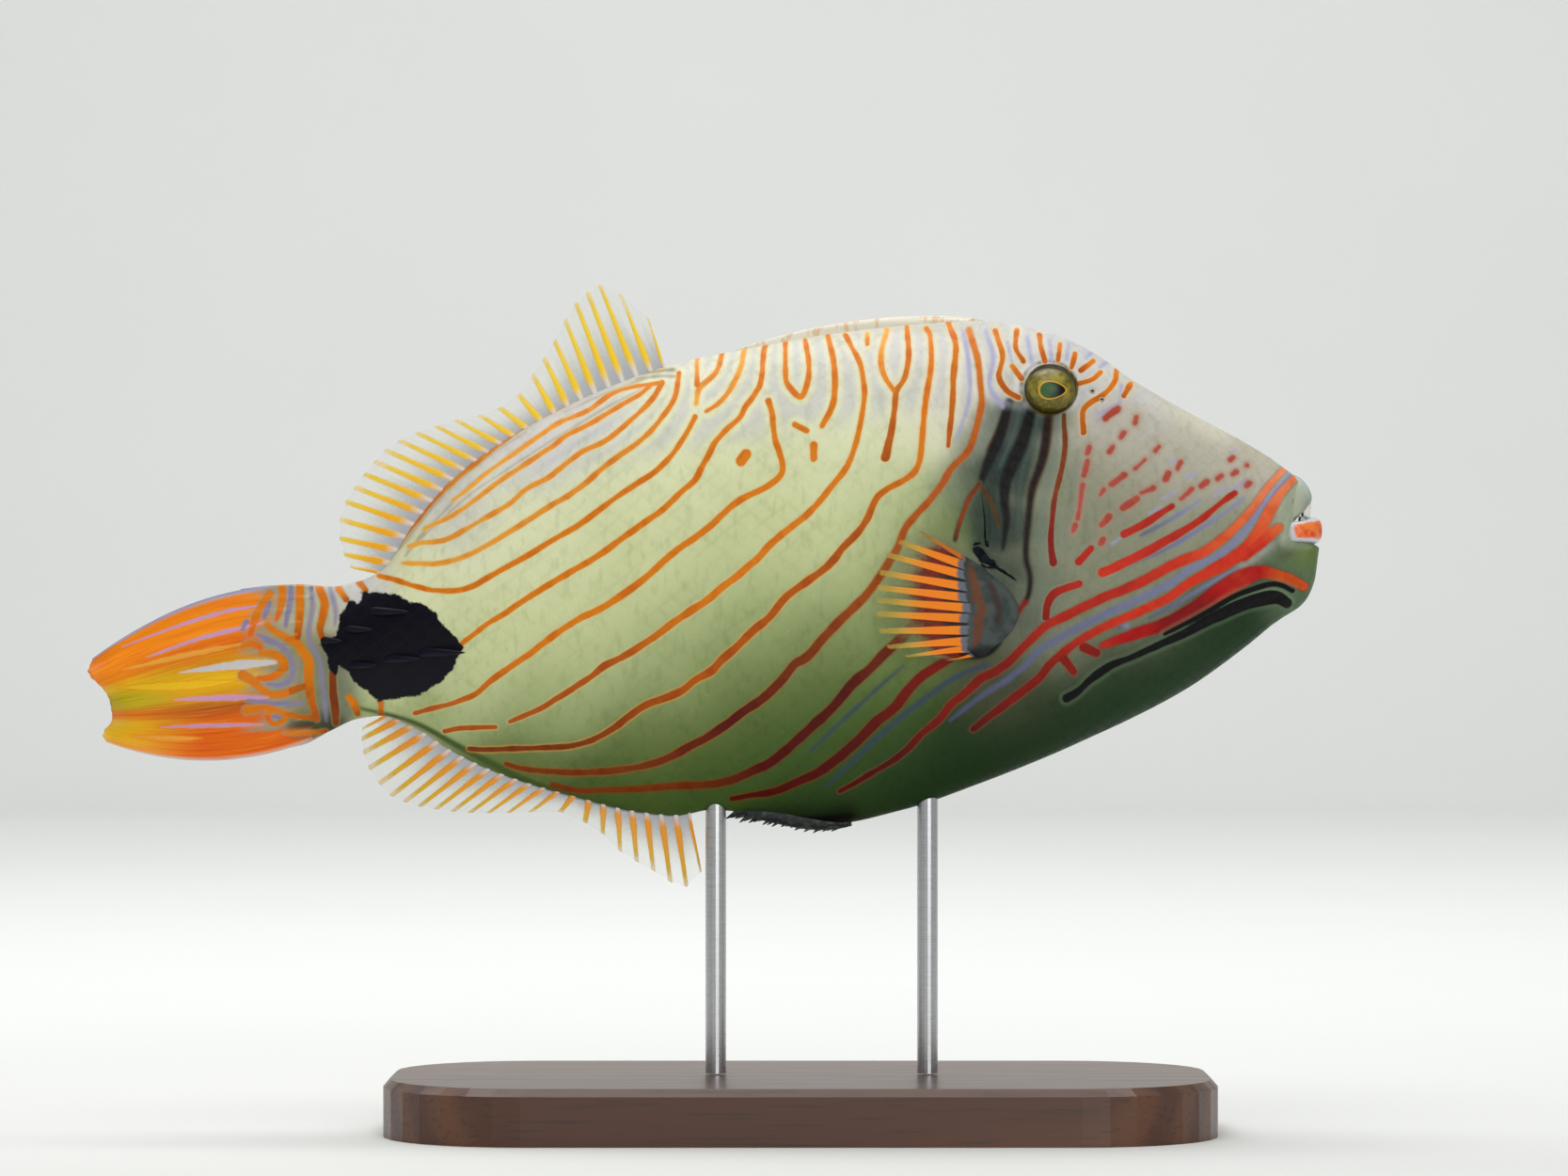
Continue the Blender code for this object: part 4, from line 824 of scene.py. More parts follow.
def makeSkin():
    first, last = body["sections"][0][0], body["sections"][-1][0]
    share = np.linspace(0, 1, body["rows"])
    along = first + (last - first) * (share + 0.045 * np.sin(2 * math.pi * share) / math.pi)
    t = np.linspace(-1, 1, body["halfAround"])
    level = 0.42 * t + 0.58 * np.sin(math.pi * t / 2)
    rings = []
    for x in along:
        top, low, wide, widest, above, below = (float(profile(x, c)) for c in range(1, 7))
        height = widest + level * np.where(level > 0, top - widest, widest - low)
        half = wide * (1 - np.abs(level) ** 2) ** (np.where(level > 0, above, below) / 2)
        beyond = max(0.0, x - body["chinLeanFrom"])
        lean = body["chinLean"] * (127.0 - height) * beyond / (last - body["chinLeanFrom"])
        right = np.stack([x + lean, -half, height], axis=1)
        left = np.stack([x + lean, half, height], axis=1)[::-1][1:-1]
        rings.append(np.vstack([right, left]))
    rings = np.array(rings)
    caps = []
    middle = rings[-1].mean(0)
    for i in range(1, body["capRings"]):
        shrink = 1 - i / body["capRings"]
        ring = middle + (rings[-1] - middle) * shrink
        ring[:, 0] += 0.8 * (1 - shrink**2)
        caps.append(ring)
    rings = np.concatenate([rings, np.array(caps)])
    count, around = rings.shape[:2]
    points = rings.reshape(-1, 3).copy()
    faces = gridFaces(count, around, closed=True)
    points = np.vstack([points, rings[0].mean(0), rings[-1].mean(0)])
    faces += [(j, (j + 1) % around, count * around)[::-1] for j in range(around)]
    lastRing = (count - 1) * around
    faces += [(lastRing + j, lastRing + (j + 1) % around, count * around + 1) for j in range(around)]
    return points, faces


def plateGrooves(flat):
    # 1 in the grooves between the diamond plates of the skin, 0 on the plates
    x = flat[:, 0] + 0.7 * np.sin(flat[:, 1] / 7.0)
    z = flat[:, 1] + 0.7 * np.sin(flat[:, 0] / 9.0)
    size = plates["size"] * (0.72 + 0.28 * (1 - smooth(20.0, 60.0, flat[:, 0])))
    rising, falling = (x * 0.62 + z * 0.78) / size, (x * 0.62 - z * 0.78) / size
    away = np.minimum(np.abs(rising - np.round(rising)), np.abs(falling - np.round(falling)))
    return 1 - smooth(0.02, 0.2, away)


def carveSkin(points):
    side = np.sign(points[:, 1])
    flat = points[:, [0, 2]]
    out = np.zeros(len(points))
    # gill slit, a groove that opens under the cover in front of it
    away = awayFrom(smoothCurve(toMm(gill["points"]), 0.4), flat)
    out -= gill["depth"] * np.exp(-((away / gill["width"]) ** 2))
    out += gill["coverRise"] * np.exp(-(((away - gill["coverAt"]) / gill["coverWidth"]) ** 2))
    for place in toMm(nostrils["places"]):
        away = np.linalg.norm(flat - place, axis=1)
        out -= nostrils["depth"] * np.exp(-((away / nostrils["radius"]) ** 2))
    onBody = (1 - smooth(62.0, 84.0, flat[:, 0])) * smooth(-108.0, -98.0, flat[:, 0])
    out -= plates["depth"] * plateGrooves(flat) * onBody
    # eye: a rim round the ball, a shallow ditch round the rim, and the socket behind the ball
    away = np.hypot((flat[:, 0] - eye["along"]) / eye["stretch"], flat[:, 1] - eye["height"])
    out += eye["rimRise"] * np.exp(-(((away - eye["rimAt"]) / eye["rimWidth"]) ** 2))
    out -= eye["ditchDepth"] * np.exp(-(((away - eye["ditchAt"]) / eye["ditchWidth"]) ** 2))
    out -= eye["socketDepth"] * (1 - smooth(*eye["socketEdge"], away))
    for line, depth, width in skinFolds:
        out -= depth * np.exp(-((awayFrom(smoothCurve(toMm(line)), flat) / width) ** 2))
    points[:, 1] += side * out * smooth(0.2, 3.0, np.abs(points[:, 1]))
    # the snout draws in behind the lips, and the mouth hollow lies between them
    room = mouthRoom
    x, y, z = points.T.copy()
    seat = smooth(*room["seatLow"], z) * (1 - smooth(*room["seatTop"], z))
    points[:, 1] *= 1 - room["narrower"] * seat * smooth(*room["narrowAlong"], x)
    low = smooth(*room["backLow"], z) * (1 - smooth(*room["backMiddle"], z))
    high = smooth(*room["backMiddle"], z) * (1 - smooth(*room["backTop"], z))
    points[:, 0] -= (room["back"][0] * low + room["back"][1] * high) * smooth(*room["backAlong"], x)
    gape = smooth(*room["gapeLow"], z) * (1 - smooth(*room["gapeTop"], z))
    inside = 1 - smooth(*room["throatHalf"], np.abs(y))
    points[:, 0] -= gape * np.maximum(0, points[:, 0] - room["gapeAlong"] + room["throat"] * inside)
    # hole: where the inside of the gape gets painted shade
    hole = gape * smooth(*room["darkAlong"], x) * (1 - smooth(*room["darkHalf"], np.abs(points[:, 1])))
    return points, hole


def skinColours(flat, mouthHole, grooves):
    lineEdge, lineCore, lineHalo = lineField(flat, allLines)
    lilacEdge, lilacCore, _ = lineField(flat, {
        key: (*value, ("slate", "lilac") if key in lowLilacs else (lilacPaint(key),) * 2, "lilac")
        for key, value in lilacLines.items()})
    inkEdge = lineField(flat, {key: (*value, ("ink", "ink"), "ink") for key, value in inkLines.items()})[0]
    x, z = flat.T
    ground = groundPaint(flat)
    pale = smooth(*snoutTip["along"], x) * smooth(*snoutTip["low"], z) * (1 - smooth(*snoutTip["top"], z))
    # pale snout tip, and painted shade inside the gape
    for share, colour in ((pale, snoutTip["pale"]), (mouthHole, snoutTip["gape"])):
        ground = ground * (1 - share[:, None]) + linear(colour) * share[:, None]
    top, low = profile(x, 1), profile(x, 2)
    ground, _ = lobed(ground, flat, np.clip((top - z) / (top - low), 0, 1), np.zeros(len(flat)))
    wash = smooth(*backWash["height"], z + backWash["slope"] * np.abs(x - backWash["middle"]))
    wash *= smooth(*backWash["low"], z) * (1 - smooth(*backWash["front"], x))
    underEye = smooth(*backWash["behindEye"], x) * (1 - smooth(*backWash["beforeEye"], x))
    wash *= 1 - underEye * (1 - smooth(*backWash["belowEye"], z))
    share = (backWash["share"] * wash * smooth(*backWash["fromLines"], lineEdge))[:, None]
    ground = ground * (1 - share) + paint("lilacGrey") * share
    print("lines painted")
    return dict(ground=ground, core=lineCore, halo=lineHalo, line=lineEdge,
                blotch=outlineField(flat, blotchEdge),
                lilac=lilacEdge, lilacCore=lilacCore, ink=inkEdge, groove=grooves, chin=smooth(50.0, 56.0, x))


def skinFinish():
    f = Finish("triggerfishSkin", roughness=0.48, Specular_IOR_Level=0.16)
    base, core, halo = f.colour("ground"), f.colour("core"), f.colour("halo")
    edge, blot = f.value("line"), f.value("blotch")
    grain = f.noise(0.9, 3.0)
    fleck = f.noise(0.62, 2.0, stretch=(1.0, 1.0, 0.36))
    wide = f.noise(0.12, 2.0)
    # ground: wide cloudiness, upright green flecks and pale specks
    tint = f.mix(f.step(fleck, 0.5, 0.72) * 0.26, base, (0.56, 0.62, 0.48), "MULTIPLY")
    tint = f.mix(f.step(wide, 0.35, 0.7) * 0.16, tint, (0.72, 0.74, 0.66), "MULTIPLY")
    tint = f.mix(f.step(grain, 0.6, 0.85) * 0.25, tint, (1.0, 1.0, 0.93), "SOFT_LIGHT")
    # lines: a pale edge, then a core with darker beads where it crosses scales
    beads = f.noise(0.3, 1.0)
    unsteady = (f.noise(0.6, 2.0) - 0.5) * 0.3 - (beads - 0.5) * 0.55
    wobble = edge + unsteady
    tint = f.mix(f.step(0.5 - (f.value("lilac") + unsteady), 0.0, 0.9) * 0.8, tint, f.colour("lilacCore"))
    tint = f.mix(f.step(0.62 - wobble, 0.0, 0.7) * 0.6, tint, halo)
    coreTint = f.mix(f.step(beads, 0.46, 0.68) * 0.55, core, (0.78, 0.56, 0.44), "MULTIPLY")
    tint = f.mix(f.step(0.18 - wobble, 0.0, 0.28), tint, coreTint)
    # ink line with a pale green edge
    inky = f.value("ink") + unsteady * 0.6
    tint = f.mix(f.step(1.15 - inky, 0.0, 0.7) * f.value("chin") * 0.3, tint, linear((104, 124, 98)))
    tint = f.mix(f.step(0.22 - inky, 0.0, 0.32), tint, linear(paints["ink"]))
    # black blotch with a ragged edge
    ragged = blot + (f.noise(0.8, 3.0) - 0.5) * 1.3
    black = f.step(0.25 - ragged, 0.0, 0.5)
    tint = f.mix(black, tint, (0.0022, 0.0024, 0.0065))
    # grooves between the plates and fine grain on them
    groove = f.value("groove")
    tint = f.mix(groove * (1.0 - black) * f.step(wide, 0.3, 0.7) * 0.14, tint, (0.5, 0.56, 0.42), "MULTIPLY")
    height = f.noise(1.9, 3.0, stretch=(1.0, 1.0, 0.55)) * 0.7 + f.noise(0.5, 2.0) * 0.3 - groove * 0.4
    normal = f.bump(height, 0.14, 0.7)
    rough = 0.44 - black * 0.06 + (grain - 0.5) * 0.16 + groove * 0.12
    return f.feed(Base_Color=tint, Roughness=rough, Normal=normal)


print("skin")
skinPoints, skinFaces = makeSkin()
seen = seenPlaces(skinPoints)
grooves = plateGrooves(skinPoints[:, [0, 2]])
skinPoints, mouthHole = carveSkin(skinPoints)
skin = piece("skin", skinPoints, skinFaces, skinFinish(), skinColours(seen, mouthHole, grooves))
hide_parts("head", "trunk", "tail_stalk")

# fins
dorsal = dict(
    rays=25, root=(-28.4, -88.8), perRay=14, rows=48, wave=2.4, waveTurns=1.15, wavePhase=0.1, half=0.14,
    rise=0.26, rayHalf=0.8,
    fan=((0.00, 11.0, 111), (0.08, 21.2, 113), (0.17, 19.2, 113), (0.25, 13.7, 117), (0.33, 9.5, 123),
         (0.38, 7.2, 138),
         (0.43, 7.6, 153), (0.50, 11.1, 157), (0.67, 15.9, 160), (0.83, 15.7, 165), (0.92, 13.0, 174),
         (1.00, 7.0, 178)),
)
anal = dict(
    rays=23, root=(-23.6, -87.2), perRay=14, rows=48, wave=2.4, waveTurns=1.15, wavePhase=0.35, half=0.14,
    rise=0.26, rayHalf=0.8,
    fan=((0.00, 12.5, 282), (0.05, 15.3, 279), (0.14, 11.9, 277), (0.23, 8.6, 273), (0.31, 4.2, 262),
         (0.36, 4.2, 222),
         (0.41, 7.5, 209), (0.59, 13.6, 213), (0.77, 16.4, 215), (0.86, 14.8, 208), (0.95, 10.0, 201),
         (1.00, 6.3, 200)),
)
caudal = dict(
    rays=14, tipTop=100.4, tipBottom=82.6, perRay=12, rows=90, bowTop=4.8, bowBottom=-4.2, fold=1.3, half=0.2,
    rise=0.3,
    rayHalf=0.8, start=-103.6,  # it starts inside the stalk, and so comes out of it with no step
    tips=((0.0, -150.6), (0.15, -151.6), (0.32, -149.0), (0.45, -147.4), (0.72, -146.2), (0.9, -148.6),
          (1.0, -147.4)),
)
pectoral = dict(
    rays=11, rootTop=119.2, rootBottom=101.4, rootAlong=39.4, rootBulge=6.4, perRay=16, rows=60, flare=5.0,
    half=0.16, rise=0.26,
    base=0.36, rayHalf=1.22,
    tips=((0.0, 25.0, 127.4), (0.15, 19.0, 124.0), (0.35, 16.0, 117.0), (0.6, 15.6, 110.0),
          (0.82, 18.6, 102.4),
          (0.93, 24.0, 100.6), (1.0, 31.0, 100.2)),
)


def between(values, places):
    numbers = np.arange(len(values))
    return np.stack([np.interp(places, numbers, values[:, c]) for c in range(values.shape[1])], axis=1)


def fanOf(fin, edge, side, sunk=1.2):
    along = np.linspace(*fin["root"], 300)
    height = edge(along)
    run = np.concatenate([[0], np.cumsum(np.hypot(np.diff(along), np.diff(height)))])
    share = np.linspace(0, 1, fin["rays"])
    x = np.interp(share * run[-1], run, along)
    z = edge(x)
    length, angle = through(fin["fan"], share, 1), np.radians(through(fin["fan"], share, 2))
    return (np.stack([x, z - side * sunk], axis=1),
            np.stack([x + length * np.cos(angle), z + length * np.sin(angle)], axis=1))


def finSheet(name, fin, roots, tips, sideways, material, scallop=0.025, bow=None, flesh=None, forked=0.6,
             colours=None, jitter=0.05, smoothRoot=0.0):
    rng = np.random.default_rng(len(name))
    places = np.linspace(0, fin["rays"] - 1, (fin["rays"] - 1) * fin["perRay"] + 1)
    root, tip = between(roots, places), between(tips, places)
    share = places / (fin["rays"] - 1)
    fromRay = np.abs(places - np.round(places))
    number = np.round(places).astype(int)
    lengths = 1 + jitter * rng.standard_normal(fin["rays"])
    near, far, out, ray, across, plane = [], [], [], [], [], []
    for o in np.linspace(0, 1, fin["rows"]):
        web = scallop * (1 - np.clip(1 - fromRay / 0.5, 0, 1) ** 0.8)
        reach = o * (1 - web)
        spot = root + (tip - root) * reach[:, None]
        if bow is not None:
            spot[:, 1] += bow(share) * 4 * reach * (1 - reach)
        pitch = np.linalg.norm(np.gradient(spot, places, axis=0), axis=1)
        halfRay = fin["rayHalf"] * (1 - 0.5 * o) * (0.55 + 0.45 * smooth(0.02, 0.3, o))
        # beyond the middle each ray forks into two branches
        fork = forked * smooth(0.35, 1.0, o) * halfRay
        gap = np.abs(fromRay * pitch - fork) - halfRay * (1 - 0.42 * smooth(0.35, 0.8, o) * (forked > 0))
        ridge = 1 - smooth(-0.25, 0.25, gap)
        if smoothRoot:
            ridge = ridge * smooth(smoothRoot - 0.06, smoothRoot + 0.1, o)
        half = fin["half"] * (1 - 0.35 * o) + fin["rise"] * ridge * (1 - 0.6 * o) + 0.45 * (1 - o) ** 4
        if flesh is not None:
            half = half + flesh(share, o)
        middle = sideways(share, o, spot)
        near.append(np.stack([spot[:, 0], middle - half, spot[:, 1]], axis=1))
        far.append(np.stack([spot[:, 0], middle + half, spot[:, 1]], axis=1))
        out.append(np.full(len(places), o) / lengths[number])
        ray.append(gap)
        across.append(share)
        plane.append(spot)
    points, faces = thinSheet(np.array(near), np.array(far))
    attributes = dict(out=np.tile(np.concatenate(out), 2), ray=np.tile(np.concatenate(ray), 2),
                      across=np.tile(np.concatenate(across), 2))
    if colours:
        attributes.update(colours(seenPlaces(points), attributes))
    return piece(name, points, faces, material, attributes)


def softFinFinish(name, rayPaint, rearPaint, tipPaint, basePaint, webPaint, webTip):
    f = Finish(name, roughness=0.42)
    out, ray = f.value("out"), f.value("ray")
    mottle = f.noise(0.8, 2.0)
    rayShare = f.step(0.08 - ray + (mottle - 0.5) * 0.12, -0.06, 0.16)
    rayTint = f.mix(f.step(f.value("across"), 0.5, 0.95), rayPaint, rearPaint)
    rayTint = f.mix(f.step(out, 0.35, 0.95), rayTint, tipPaint)
    rayTint = f.mix(f.step(out + (mottle - 0.5) * 0.1, 0.06, 0.24), basePaint, rayTint)
    web = f.mix(f.step(out, 0.05, 0.9), webPaint, webTip)
    halo = f.step(0.5 - ray, 0.0, 0.5) * 0.5
    web = f.mix(halo, web, tipPaint)
    tint = f.mix(rayShare, web, rayTint)
    webAlpha = 0.6 - f.step(out, 0.0, 0.85) * 0.54 + halo * 0.1
    alpha = (rayShare * (1.0 - f.step(out, 0.72, 1.02) * 0.6)).maths("MAXIMUM", webAlpha)
    along = f.add("ShaderNodeCombineXYZ", None, {"X": out * 4.0, "Y": f.value("across") * 160.0, "Z": 0.0})
    streaks = f.noise(1.0, 2.0, where=along)
    return f.feed(Base_Color=tint, Alpha=alpha, Normal=f.bump(streaks, 0.1, 0.4))


def waveOf(fin):
    def sideways(share, o, spot):
        return fin["wave"] * o * np.sin(2 * math.pi * (fin["waveTurns"] * share + fin["wavePhase"]))
    return sideways


print("fins")
finWeb = dict(basePaint=linear((222, 220, 222)), webPaint=linear((176, 182, 194)),
              webTip=linear((206, 210, 170)))
dorsalMaterial = softFinFinish("softDorsalMembrane", linear((252, 208, 36)), linear((250, 176, 14)),
                               linear((250, 216, 70)), **finWeb)
analMaterial = softFinFinish("analMembrane", linear((244, 158, 10)), linear((240, 150, 10)),
                             linear((226, 186, 34)), **finWeb)
roots, tips = fanOf(dorsal, lambda x: profile(x, 1), 1)
dorsalFin = finSheet("softDorsalFin", dorsal, roots, tips, waveOf(dorsal), dorsalMaterial)
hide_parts("soft_dorsal_fin")
roots, tips = fanOf(anal, lambda x: profile(x, 2), -1)
analFin = finSheet("analFin", anal, roots, tips, waveOf(anal), analMaterial)
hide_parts("anal_fin")


def tailColours(places, attributes):
    ground, fade = lobed(groundPaint(places), places, attributes["across"], attributes["out"])
    barCore = ("orange", "orange", "orangeDeep")
    lines = {key: (points, halves, barCore, "tanGrey") for key, (points, halves) in tailLines.items()}
    for key, (points, halves, name) in tailStreaks.items():
        lines["s" + key] = (points, halves, (name, name), "amber" if name == "pearl" else "orangeBright")
    for key, (points, halves) in tailLilacs.items():
        lines["l" + key] = (points, halves, ("lilacDusk", "lilacDusk"), "tanGrey")
    edge, core, halo = lineField(places, lines)
    return dict(ground=ground, core=core, halo=halo, line=edge, fade=fade)


def tailFinish():
    f = Finish("tailFinMembrane", roughness=0.42, Specular_IOR_Level=0.2)
    out, across, edge = f.value("out"), f.value("across"), f.value("line")
    where = f.add("ShaderNodeCombineXYZ", None, {"X": out * 3.0, "Y": across * 70.0, "Z": 0.0})
    strand = f.noise(1.0, 2.5, where=where)
    along = f.add("ShaderNodeCombineXYZ", None, {"X": out * 2.2, "Y": across * 22.0, "Z": 4.0})
    broad = f.noise(1.0, 1.5, where=along)
    lobes = f.value("fade")
    tint = f.mix(f.step(broad, 0.5, 0.72) * lobes * 0.3, f.colour("ground"), linear(paints["orangeDeep"]))
    tint = f.mix(f.step(strand, 0.52, 0.72) * lobes * 0.6, tint, (0.8, 0.55, 0.35), "MULTIPLY")
    tint = f.mix(f.step(strand, 0.46, 0.28) * lobes * 0.3, tint, linear((252, 190, 70)))
    wobble = edge + (f.noise(0.5, 2.0) - 0.5) * 0.5
    tint = f.mix(f.step(0.6 - wobble, 0.0, 0.7) * 0.7, tint, f.colour("halo"))
    tint = f.mix(f.step(0.18 - wobble, 0.0, 0.3), tint, f.colour("core"))
    alpha = 1.0 - f.step(out, 0.88, 1.02) * 0.22
    return f.feed(Base_Color=tint, Alpha=alpha, Normal=f.bump(strand, 0.25, 0.6))


def makeTail():
    start = caudal["start"]
    top, low = float(profile(start, 1)) - 0.2, float(profile(start, 2)) + 0.2
    share = np.linspace(0, 1, caudal["rays"])
    roots = np.stack([np.full(caudal["rays"], start), top + (low - top) * share], axis=1)
    tipHeight = caudal["tipTop"] + (caudal["tipBottom"] - caudal["tipTop"]) * share
    tips = np.stack([through(caudal["tips"], share), tipHeight], axis=1)

    def sideways(share, o, spot):
        return caudal["fold"] * o * np.sin(2 * math.pi * (2.5 * share + 0.12))

    def bow(share):
        return caudal["bowTop"] + (caudal["bowBottom"] - caudal["bowTop"]) * share

    def flesh(share, o):
        return 1.75 * np.sqrt(np.clip(1 - (2 * share - 1) ** 2, 0, 1)) * (1 - o) ** 2.2

    made = finSheet("caudalFin", caudal, roots, tips, sideways, tailFinish(), scallop=0.003, bow=bow,
                    flesh=flesh,
                    forked=0.9, colours=tailColours, jitter=0.02)
    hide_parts("caudal_fin")


makeTail()


def pectoralFinish():
    f = Finish("pectoralFin", roughness=0.44, Specular_IOR_Level=0.3)
    out, ray, across = f.value("out"), f.value("ray"), f.value("across")
    mottle, soft = f.noise(0.8, 2.0), f.noise(0.25, 2.0)
    rayShare = f.step(0.06 - ray, -0.05, 0.2)
    web = f.mix(f.step(out + (mottle - 0.5) * 0.16, 0.46, 0.62), linear((46, 14, 14)), linear((124, 44, 20)))
    web = f.mix(f.step(out + (mottle - 0.5) * 0.16, 0.66, 0.84), web, linear((176, 180, 130)))
    web = f.mix(f.step(out, 0.47, 0.41), web, linear((26, 24, 34)))
    rayTint = f.mix(f.step(out, 0.62, 0.92), linear((250, 136, 14)), linear((196, 168, 70)))
    rayTint = f.mix(f.step(out, 0.42, 0.39), rayTint, linear((104, 110, 118)))
    rayTint = f.mix(f.step(across, 0.1, 0.02) * 0.6, rayTint, linear((150, 84, 44)))
    tint = f.mix(rayShare, web, rayTint)
    # fleshy base: slate grey with upright brown bands, near black along its lower edge
    lobe = f.mix(f.step(soft, 0.4, 0.62), linear((54, 64, 60)), linear((74, 82, 80)))
    place = out + (soft - 0.5) * 0.05
    broad = f.step(0.035 - (place - 0.27).maths("ABSOLUTE"), -0.022, 0.026)
    broad = broad * f.step(across, 0.02, 0.14) * f.step(across, 0.92, 0.84)
    lobe = f.mix(broad * 0.85, lobe, linear((110, 60, 18)))
    thin = f.step(0.024 - (place - 0.14).maths("ABSOLUTE"), -0.02, 0.02)
    thin = thin * f.step(across, 0.12, 0.24) * f.step(across, 0.7, 0.56)
    lobe = f.mix(thin * 0.75, lobe, linear((60, 36, 30)))
    lobe = f.mix(f.step(across, 0.84, 0.95), lobe, linear((16, 18, 26)))
    tint = f.mix(f.step(out + (mottle - 0.5) * 0.03, 0.36, 0.33), tint, lobe)
    webAlpha = 1.0 - f.step(out + (mottle - 0.5) * 0.1, 0.54, 0.82) * 0.84 - f.step(out, 0.75, 0.95) * 0.14
    alpha = (rayShare * (1.0 - f.step(out, 0.78, 1.0) * 0.65)).maths("MAXIMUM", webAlpha)
    return f.feed(Base_Color=tint, Alpha=alpha, Normal=f.bump(mottle, 0.1, 0.4))


pectoralMaterial = pectoralFinish()


def makePectoral(name, node, side):
    share = np.linspace(0, 1, pectoral["rays"])
    roots = np.stack([pectoral["rootAlong"] + pectoral["rootBulge"] * np.sin(math.pi * share),
                      pectoral["rootTop"] + (pectoral["rootBottom"] - pectoral["rootTop"]) * share], axis=1)
    tips = np.stack([through(pectoral["tips"], share, 1), through(pectoral["tips"], share, 2)], axis=1)

    def sideways(share, o, spot):
        return side * (flank(spot[:, 0], spot[:, 1]) - 1.2 + (1.2 + pectoral["flare"]) * o**0.8)

    def flesh(share, o):
        return 1.0 * np.clip(1 - o / pectoral["base"], 0, 1) ** 0.6 * np.sin(math.pi * np.clip(share, 0.06,
                0.94))

    made = finSheet(name, pectoral, roots, tips, sideways, pectoralMaterial, flesh=flesh, forked=0.0,
                    jitter=0.03, smoothRoot=0.34)
    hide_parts(node)


makePectoral("pectoralFinRight", "pectoral_fin_right", -1)
makePectoral("pectoralFinLeft", "pectoral_fin_left", 1)

# folded first dorsal fin
crest = dict(ends=(-14.0, 39.0), rise=2.0, half=1.5, spines=((37.0, 33.0, 1.35), (30.0, 22.0, 1.0),
        (24.0, 14.0, 0.8)))


def spineRings(root, tip, radius, bow=(0, 0, 0), sides=20, rings=22, flatten=1.0):
    root, tip, bow = (np.asarray(p, float) for p in (root, tip, bow))
    lie = (tip - root) / np.linalg.norm(tip - root)
    across = np.cross(lie, (0, 0, 1.0))
    across /= np.linalg.norm(across)
    other = np.cross(lie, across)
    out = []
    for s in np.linspace(0, 1, rings):
        size = radius * (1 - s) ** 0.72 + 0.05
        centre = root + (tip - root) * s + bow * 4 * s * (1 - s)
        a = np.arange(sides) * 2 * math.pi / sides
        out.append(centre + size * (flatten * across * np.cos(a)[:, None] + other * np.sin(a)[:, None]))
    return out


def crestFinish():
    f = Finish("foldedFinSkin", roughness=0.5)
    bands = f.noise(0.5, 2.0, stretch=(1.6, 1.0, 0.4))
    tint = f.mix(f.step(bands, 0.52, 0.66) * 0.6, linear((222, 218, 198)), linear((214, 160, 96)))
    return f.feed(Base_Color=tint, Normal=f.bump(f.noise(0.9, 3.0, stretch=(0.4, 1, 1)), 0.2, 0.6))


def makeCrest():
    rings = []
    for s in np.linspace(0.005, 0.995, 120):
        along = crest["ends"][0] + (crest["ends"][1] - crest["ends"][0]) * s
        swell = math.sin(math.pi * s) ** 0.6
        a = np.arange(28) * 2 * math.pi / 28
        fold = 1 + 0.12 * np.sin(5 * a + 9 * s) * swell
        base = float(profile(along, 1))
        rings.append(np.stack([np.full(28, along), crest["half"] * swell * fold * np.sin(a),
                               base - 1.5 + (1.5 + crest["rise"] * swell) * np.cos(a)], axis=1))
    parts = [tube(rings)]
    for number, (root, length, radius) in enumerate(crest["spines"]):
        start = (root, 0, float(profile(root, 1)) - 0.9)
        stop = (root - length, 0, float(profile(root - length, 1)) + 1.5 - 0.3 * number)
        parts.append(tube(spineRings(start, stop, radius, bow=(0, 0, 0.9))))
    made = piece("foldedFirstDorsal", *joined(parts), crestFinish())
    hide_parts("first_dorsal_fin")


makeCrest()

# rough flap under the belly
flap = dict(ends=(-14.4, 11.0), drop=1.6, half=1.7, spines=26)


def makeFlap():
    rng = np.random.default_rng(5)
    rings = []
    for s in np.linspace(0.005, 0.995, 60):
        along = flap["ends"][0] + (flap["ends"][1] - flap["ends"][0]) * s
        swell = math.sin(math.pi * s) ** 0.7
        a = np.arange(20) * 2 * math.pi / 20
        base = float(profile(along, 2))
        rings.append(np.stack([np.full(20, along), flap["half"] * swell * np.sin(a),
                               base + 1.5 - (1.5 + flap["drop"] * swell) * np.cos(a)], axis=1))
    parts = [tube(rings)]
    for number in range(flap["spines"]):
        s = (number + 0.7) / flap["spines"]
        along = flap["ends"][0] + (flap["ends"][1] - flap["ends"][0]) * s
        low = float(profile(along, 2))
        side = rng.choice([-1, 1]) * rng.uniform(0.3, 1.0)
        parts.append(tube(spineRings((along, 0.4 * side, low - 0.3),
                                     (along - 2.2, 1.5 * side, low - 1.2 - rng.uniform(0, 0.8)),
                                     0.5, sides=10, rings=8)))
    f = Finish("darkFlap", roughness=0.5)
    tint = f.mix(f.step(f.noise(0.7, 3.0), 0.45, 0.7), (0.006, 0.010, 0.012), (0.045, 0.06, 0.045))
    made = piece("pelvicFlap", *joined(parts), f.feed(Base_Color=tint,
            Normal=f.bump(f.noise(1.5, 3.0), 0.2, 0.7)))
    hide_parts("pelvic_flap")


makeFlap()

# hooked spines on the tail stalk: tip along, tip height, length
tailSpines = dict(
    tips=((-82.6, 110.4, 8.6), (-90.4, 106.6, 6.4), (-97.0, 104.2, 4.8), (-70.6, 101.8, 10.4),
          (-80.2, 100.4, 8.2), (-89.6, 99.0, 6.2)),
    lift=2.6, radius=1.25,
)


